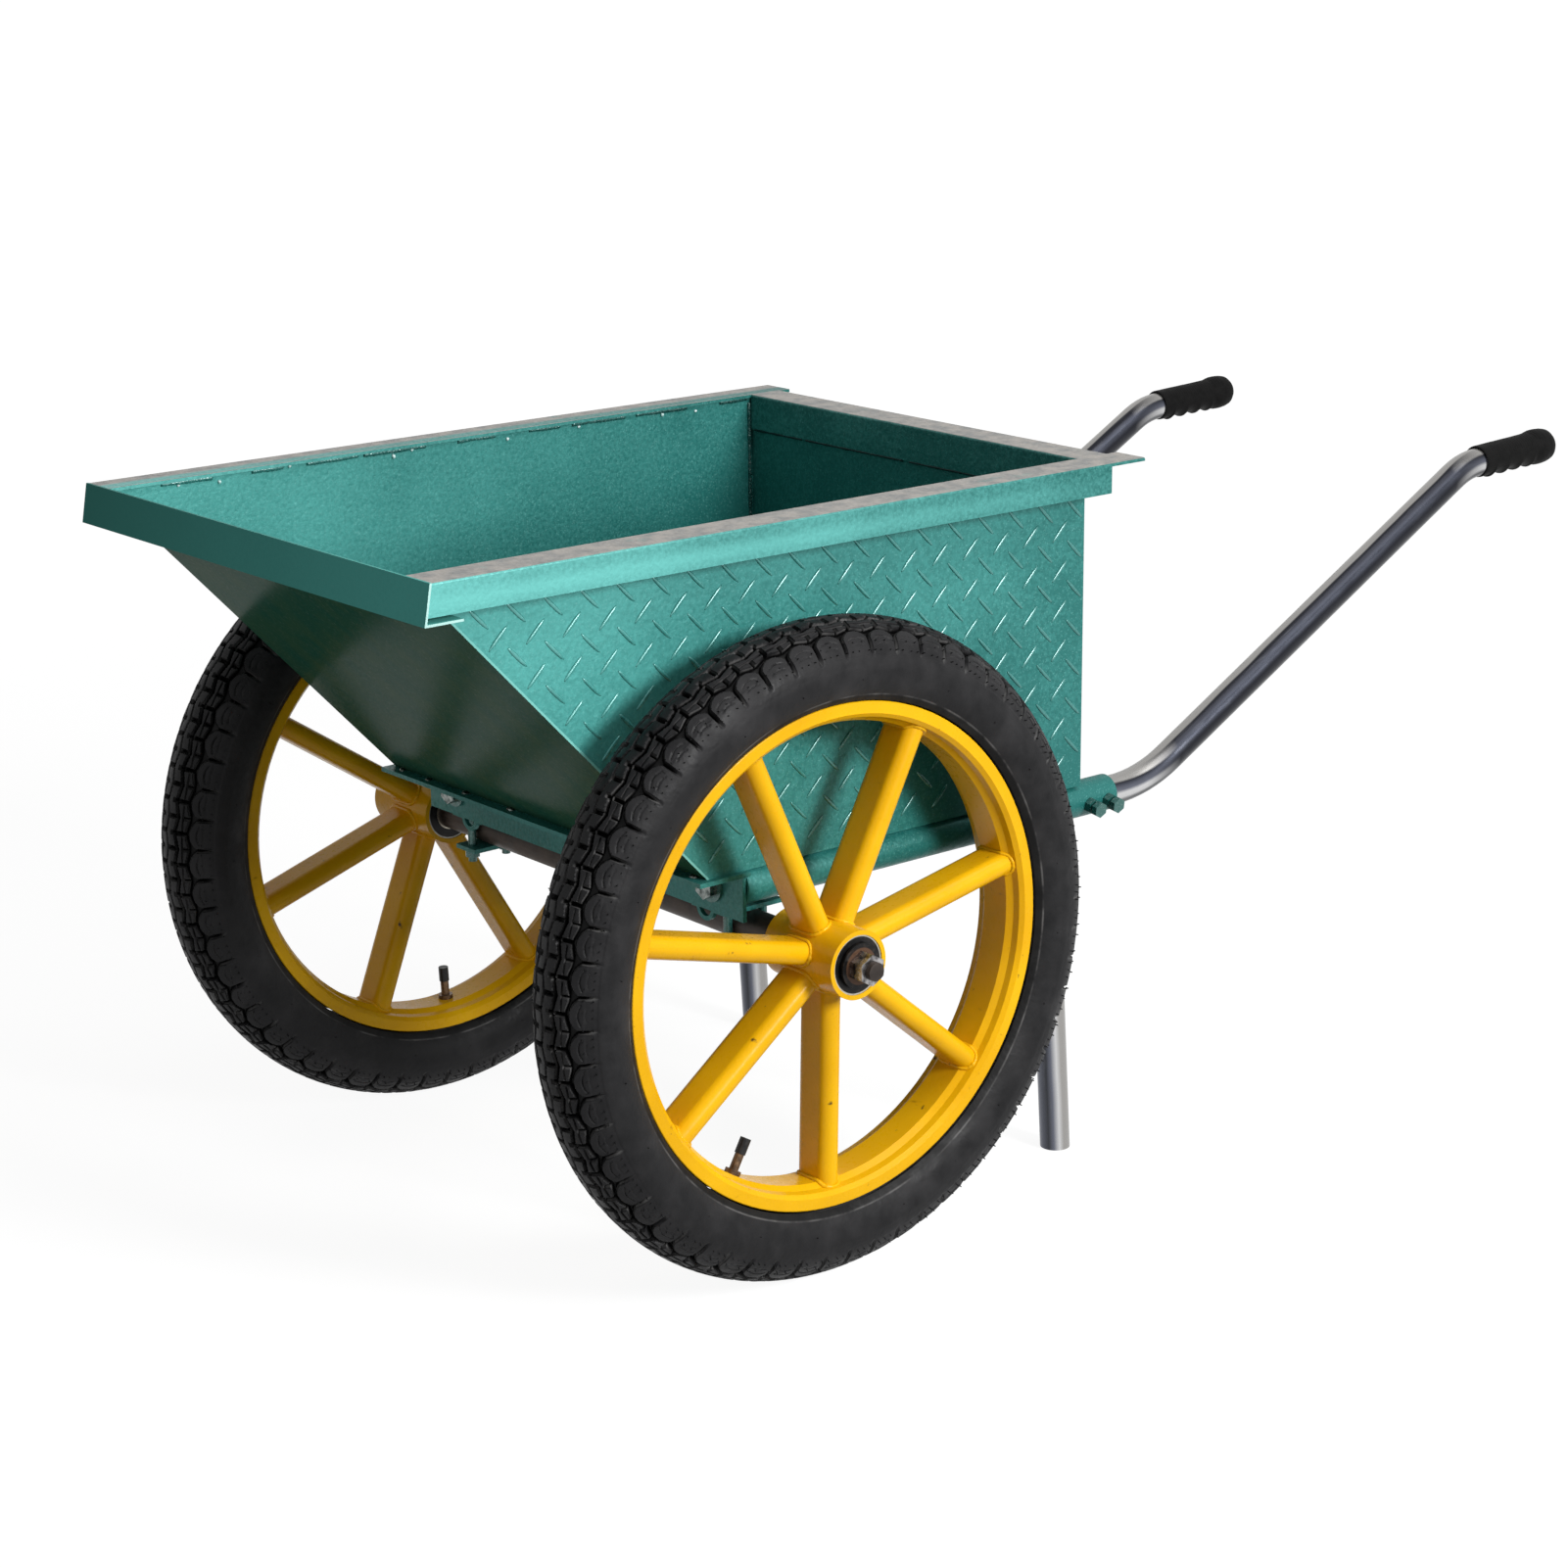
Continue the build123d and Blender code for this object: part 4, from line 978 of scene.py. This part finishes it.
def weld_bead(points, faces, path, radius, ripple=3.4, ring=False, seed=0.0):
    """Adds a rippled bead along a path of points in millimetres."""
    path = np.asarray(path, dtype=float)
    ahead = np.roll(path, -1, axis=0) - path
    if not ring:
        ahead[-1] = ahead[-2]
    travel = np.concatenate(((0,), np.cumsum(np.linalg.norm(ahead, axis=1))[:-1]))
    ahead = ahead / np.linalg.norm(ahead, axis=1)[:, None]
    helper = np.array((0.31, 0.53, 0.79))
    out = np.cross(ahead, helper)
    out = out / np.linalg.norm(out, axis=1)[:, None]
    other = np.cross(ahead, out)
    swell = 0.82 + 0.26 * np.abs(np.sin(math.pi * travel / ripple))
    swell += 0.12 * np.sin(travel / 11.0 + seed) + 0.10 * np.sin(travel / 4.7 + 2.0 * seed)
    start = len(points)
    for spot, a, b, size in zip(path, out, other, swell):
        for corner in range(bead_sides):
            swing = 2 * math.pi * corner / bead_sides
            points.append(tuple(spot + radius * size * (a * math.cos(swing) + b * math.sin(swing))))
    made = grid_faces(len(path), bead_sides, ring, True, start)
    if not ring:
        made.append(tuple(range(start + bead_sides - 1, start - 1, -1)))
        last = start + (len(path) - 1) * bead_sides
        made.append(tuple(range(last, last + bead_sides)))
    faces.extend(made)


def straight(first, second, step=1.3):
    """Points along a straight seam."""
    first = np.asarray(first, dtype=float)
    second = np.asarray(second, dtype=float)
    count = max(3, int(np.linalg.norm(second - first) / step))
    return [first + (second - first) * k / (count - 1) for k in range(count)]


# %% Seams of the tub
inner_face = 232.6
rail_seam_z = 650.0
seam_pieces = 9
seam_first = -352
seam_pitch = 76
seam_radius = 2.1
corner_radius = 1.8
rear_corner = ((-355, 356), (-354, 646), 2.0)
slope_corner = ((69, 354), (322, 619), 4.0)
floor_corner = ((-356, 355), (66, 355), 5.0)
spatter_count = 13
spatter_first = -345
spatter_pitch = 53
for name, side in sides.items():
    points = []
    faces = []
    wall = side * inner_face
    for k in range(seam_pieces):
        begin = seam_first + k * seam_pitch + 5 * math.sin(3.1 * k)
        end = begin + 50 + 18 * math.sin(1.7 * k + side)
        seam = straight((begin, wall, rail_seam_z), (end, wall, rail_seam_z))
        weld_bead(points, faces, seam, seam_radius, seed=k + side)
    for (x1, z1), (x2, z2), seed in (rear_corner, slope_corner, floor_corner):
        seam = straight((x1, wall, z1), (x2, wall, z2))
        weld_bead(points, faces, seam, corner_radius, seed=seed)
    # The beads take a near-black green as painted shade, with bright flecks as painted glints.
    add_piece("tub_welds_" + name, "cart", "green_paint", points, faces, "green_weld")
    points = []
    faces = []
    for k in range(spatter_count):
        x = spatter_first + spatter_pitch * k + 17 * math.sin(2.9 * k)
        z = rail_seam_z - 2.0 - 3.0 * math.sin(1.9 * k + side)
        drop = straight((x, wall, z), (x + 2.4, wall, z - 0.6))
        weld_bead(points, faces, drop, 1.5 + 0.5 * math.sin(4.1 * k), ripple=5.0, seed=k)
    # The drops are coloured pale as painted glints.
    add_piece("weld_spatter_" + name, "cart", "green_paint", points, faces, "spatter_painted_glint")

# %% [markdown]
# ## Gaps between sheets
# Where a rail or the rear angle laps a panel, the sheets touch without a weld, and a narrow gap
# lies in shadow. A thin bead in a nearly black green, thicker in a few places where the sheets
# stand apart, draws that line as a painted shadow.

# %% Gap under the rails
gap_ripple = 23.0
rail_foot_z = 628.6
rail_gaps = ((-352, 326, 0.5), (-90, -60, 1.0), (118, 152, 1.1))
for name, side in sides.items():
    points = []
    faces = []
    face_y = side * panel_face
    for begin, end, thick in rail_gaps:
        seam = straight((begin, face_y, rail_foot_z), (end, face_y, rail_foot_z), 4.0)
        weld_bead(points, faces, seam, thick, ripple=gap_ripple, seed=begin)
    # A painted shadow line under the rail.
    add_piece("rail_gap_shadow_" + name, "cart", "green_paint", points, faces, "gap_painted_shadow")

# %% Gap under the rear angle
rear_leg_face = -355.2
rear_leg_foot = 619.4
rear_gap_count = 6
rear_gap_first = -226
rear_gap_pitch = 76
rear_gap_length = 73
points = []
faces = []
for k in range(rear_gap_count):
    begin = rear_gap_first + k * rear_gap_pitch + 4 * math.sin(2.3 * k)
    end = begin + rear_gap_length
    seam = straight((rear_leg_face, begin, rear_leg_foot), (rear_leg_face, end, rear_leg_foot))
    weld_bead(points, faces, seam, 1.0, ripple=gap_ripple, seed=k)
# A painted shadow line under the rear angle.
add_piece("rear_seam_shadow", "cart", "green_paint", points, faces, "gap_painted_shadow")

# %% [markdown]
# ## Spoke welds
# Each spoke is a flattened tube welded all round to the hub and to the rim. The bead follows
# the tube's oval outline where it meets the round hub and the dished rim, so its path is worked
# out from both shapes, and the joints stay closed from every side.

# %% Spoke welds
spoke_count = 7
spoke_half_width = 20.0
spoke_half_thick = 10.0
spoke_shift = 2.0
hub_radius = 30.15
weld_lift = 0.4
spoke_bead = 1.9
spoke_ripple = 3.6
wheel_turns = {"left": 62.8, "right": 95.0}
rim_across = (0.0, 14.0, 19.4, 25.5)
rim_inner = (201.0, 201.0, 204.75, 205.95)


def oval_outline(count=52):
    """Points (along the axle, round the wheel) on the outline of a flattened tube."""
    flat = spoke_half_width - spoke_half_thick
    spots = []
    for k in range(count):
        swing = 2 * math.pi * (k + 0.5) / count
        push = flat if math.cos(swing) > 0 else -flat
        spots.append((
            push + (spoke_half_thick + weld_lift) * math.cos(swing),
            (spoke_half_thick + weld_lift) * math.sin(swing),
        ))
    return spots


for name, side in sides.items():
    points = []
    faces = []
    for spoke in range(spoke_count):
        turn = math.radians(360.0 * (spoke + 0.5) / spoke_count + wheel_turns[name])
        outward = np.array((math.cos(turn), 0, -math.sin(turn)))
        around = np.array((math.sin(turn), 0, math.cos(turn)))
        for joint in ("hub", "rim"):
            path = []
            for across, aside in oval_outline():
                y = across + spoke_shift
                wall = hub_radius + weld_lift
                if joint == "rim":
                    wall = np.interp(abs(y), rim_across, rim_inner) - weld_lift
                distance = math.sqrt(wall ** 2 - aside ** 2)
                spot = outward * distance + around * aside
                path.append((spot[0], side * (wheel_y / MM + y), axle_z / MM + spot[2]))
            weld_bead(points, faces, path, spoke_bead, spoke_ripple, True, spoke)
    add_piece("spoke_welds_" + name, "wheel_" + name, "yellow_paint", points, faces)

# %% [markdown]
# ## Tack welds
# The slope's foot rests on the ledge of the cross angle and is held by a few tack welds, which
# show as bright drops. A drop is a squashed dome with an uneven edge, made ring by ring.

# %% Tack welds
tack_x = 77.0
tack_radius = 3.4
tack_height = 2.6
tack_sunk = 0.3
tack_places = (-219, -175, -115, -45, 51, 118, 183, 221)


def weld_drop(points, faces, x, y, z, radius, height, seed):
    """Adds a squashed dome that sits on a level surface."""
    start = len(points)
    rings = 5
    around = 12
    for ring in range(rings):
        lift = math.pi / 2 * ring / rings
        for k in range(around):
            swing = 2 * math.pi * k / around
            uneven = 1 + 0.18 * math.sin(2 * swing + seed) + 0.1 * math.sin(3 * swing)
            wide = radius * math.cos(lift) * uneven
            points.append((
                x + wide * math.cos(swing),
                y + 1.3 * wide * math.sin(swing),
                z - tack_sunk + height * math.sin(lift),
            ))
    points.append((x, y, z - tack_sunk + height))
    faces.extend(grid_faces(rings, around, False, True, start))
    top = start + (rings - 1) * around
    tip = len(points) - 1
    for k in range(around):
        faces.append((top + k, top + (k + 1) % around, tip))
    faces.append(tuple(range(start + around - 1, start - 1, -1)))


points = []
faces = []
for k, y in enumerate(tack_places):
    weld_drop(points, faces, tack_x, y, floor_line, tack_radius, tack_height, 1.3 * k)
add_piece("ledge_tacks", "cart", "weathered_steel", points, faces, "bright_bolt")

# %% [markdown]
# ## Grips
# A moulded rubber sleeve: a plain mouth, three finger hollows beneath, fine ribs above and a
# swollen end. It is turned from a profile of radius along its length, then the underside is pushed
# in under each finger, which leaves the crests that show in outline.

# %% Grips
grip_length = 110.0
grip_start_x = -915.5
grip_tilt = math.radians(2.5)
finger_crest = 1.9
finger_hollow = 3.2
grip_steps = 110
grip_round = 40
finger_first = 24.0
finger_pitch = 20.0
finger_count = 3
rib_height = 0.22
rib_pitch = 3.2
rib_start = 12
rib_end = 90
handle_y = 222.0


def grip_profile(along):
    """Radius of the sleeve before the finger hollows."""
    places = (0, 1.2, 60, 78, 86, 92, 99, 104, 108, 110)
    radii = (15.2, 15.8, 15.7, 16.0, 17.6, 17.8, 17.2, 16.0, 13.0, 10.0)
    return float(np.interp(along, places, radii))


def grip_points(side, centre_z):
    """Rings of points along the sleeve, mouth first."""
    rows = []
    for along in np.linspace(0, grip_length, grip_steps):
        base = grip_profile(along)
        finger = (along - finger_first) / finger_pitch
        in_hold = 1.0 if -0.5 < finger < finger_count - 0.5 else 0.0
        crest = abs(math.cos(math.pi * finger)) if in_hold else 0.0
        rib = 0.0
        if rib_start < along < rib_end:
            rib = rib_height * math.sin(2 * math.pi * along / rib_pitch)
        for k in range(grip_round):
            swing = 2 * math.pi * k / grip_round
            below = max(0.0, -math.sin(swing)) ** 1.5
            push = below * in_hold * (finger_crest - finger_hollow * crest)
            radius = base + push + rib * max(0.0, math.sin(swing))
            w = radius * math.sin(swing)
            rows.append((
                grip_start_x - along * math.cos(grip_tilt) + w * math.sin(grip_tilt),
                side * handle_y + radius * math.cos(swing),
                centre_z + along * math.sin(grip_tilt) + w * math.cos(grip_tilt),
            ))
    return rows


box_low, box_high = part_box("grip_left")
grip_mid_z = (box_low[2] + box_high[2]) / 2 / MM
mouth_z = grip_mid_z - 0.5 * grip_length * math.sin(grip_tilt)
for name, side in sides.items():
    points = grip_points(side, mouth_z)
    faces = grid_faces(grip_steps, grip_round, False, True)
    faces.append(tuple(range(grip_round)))
    last = (grip_steps - 1) * grip_round
    faces.append(tuple(range(last + grip_round - 1, last - 1, -1)))
    grip = add_piece("grip_sleeve_" + name, "cart", "grip_rubber", points, faces)
    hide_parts("grip_" + name)
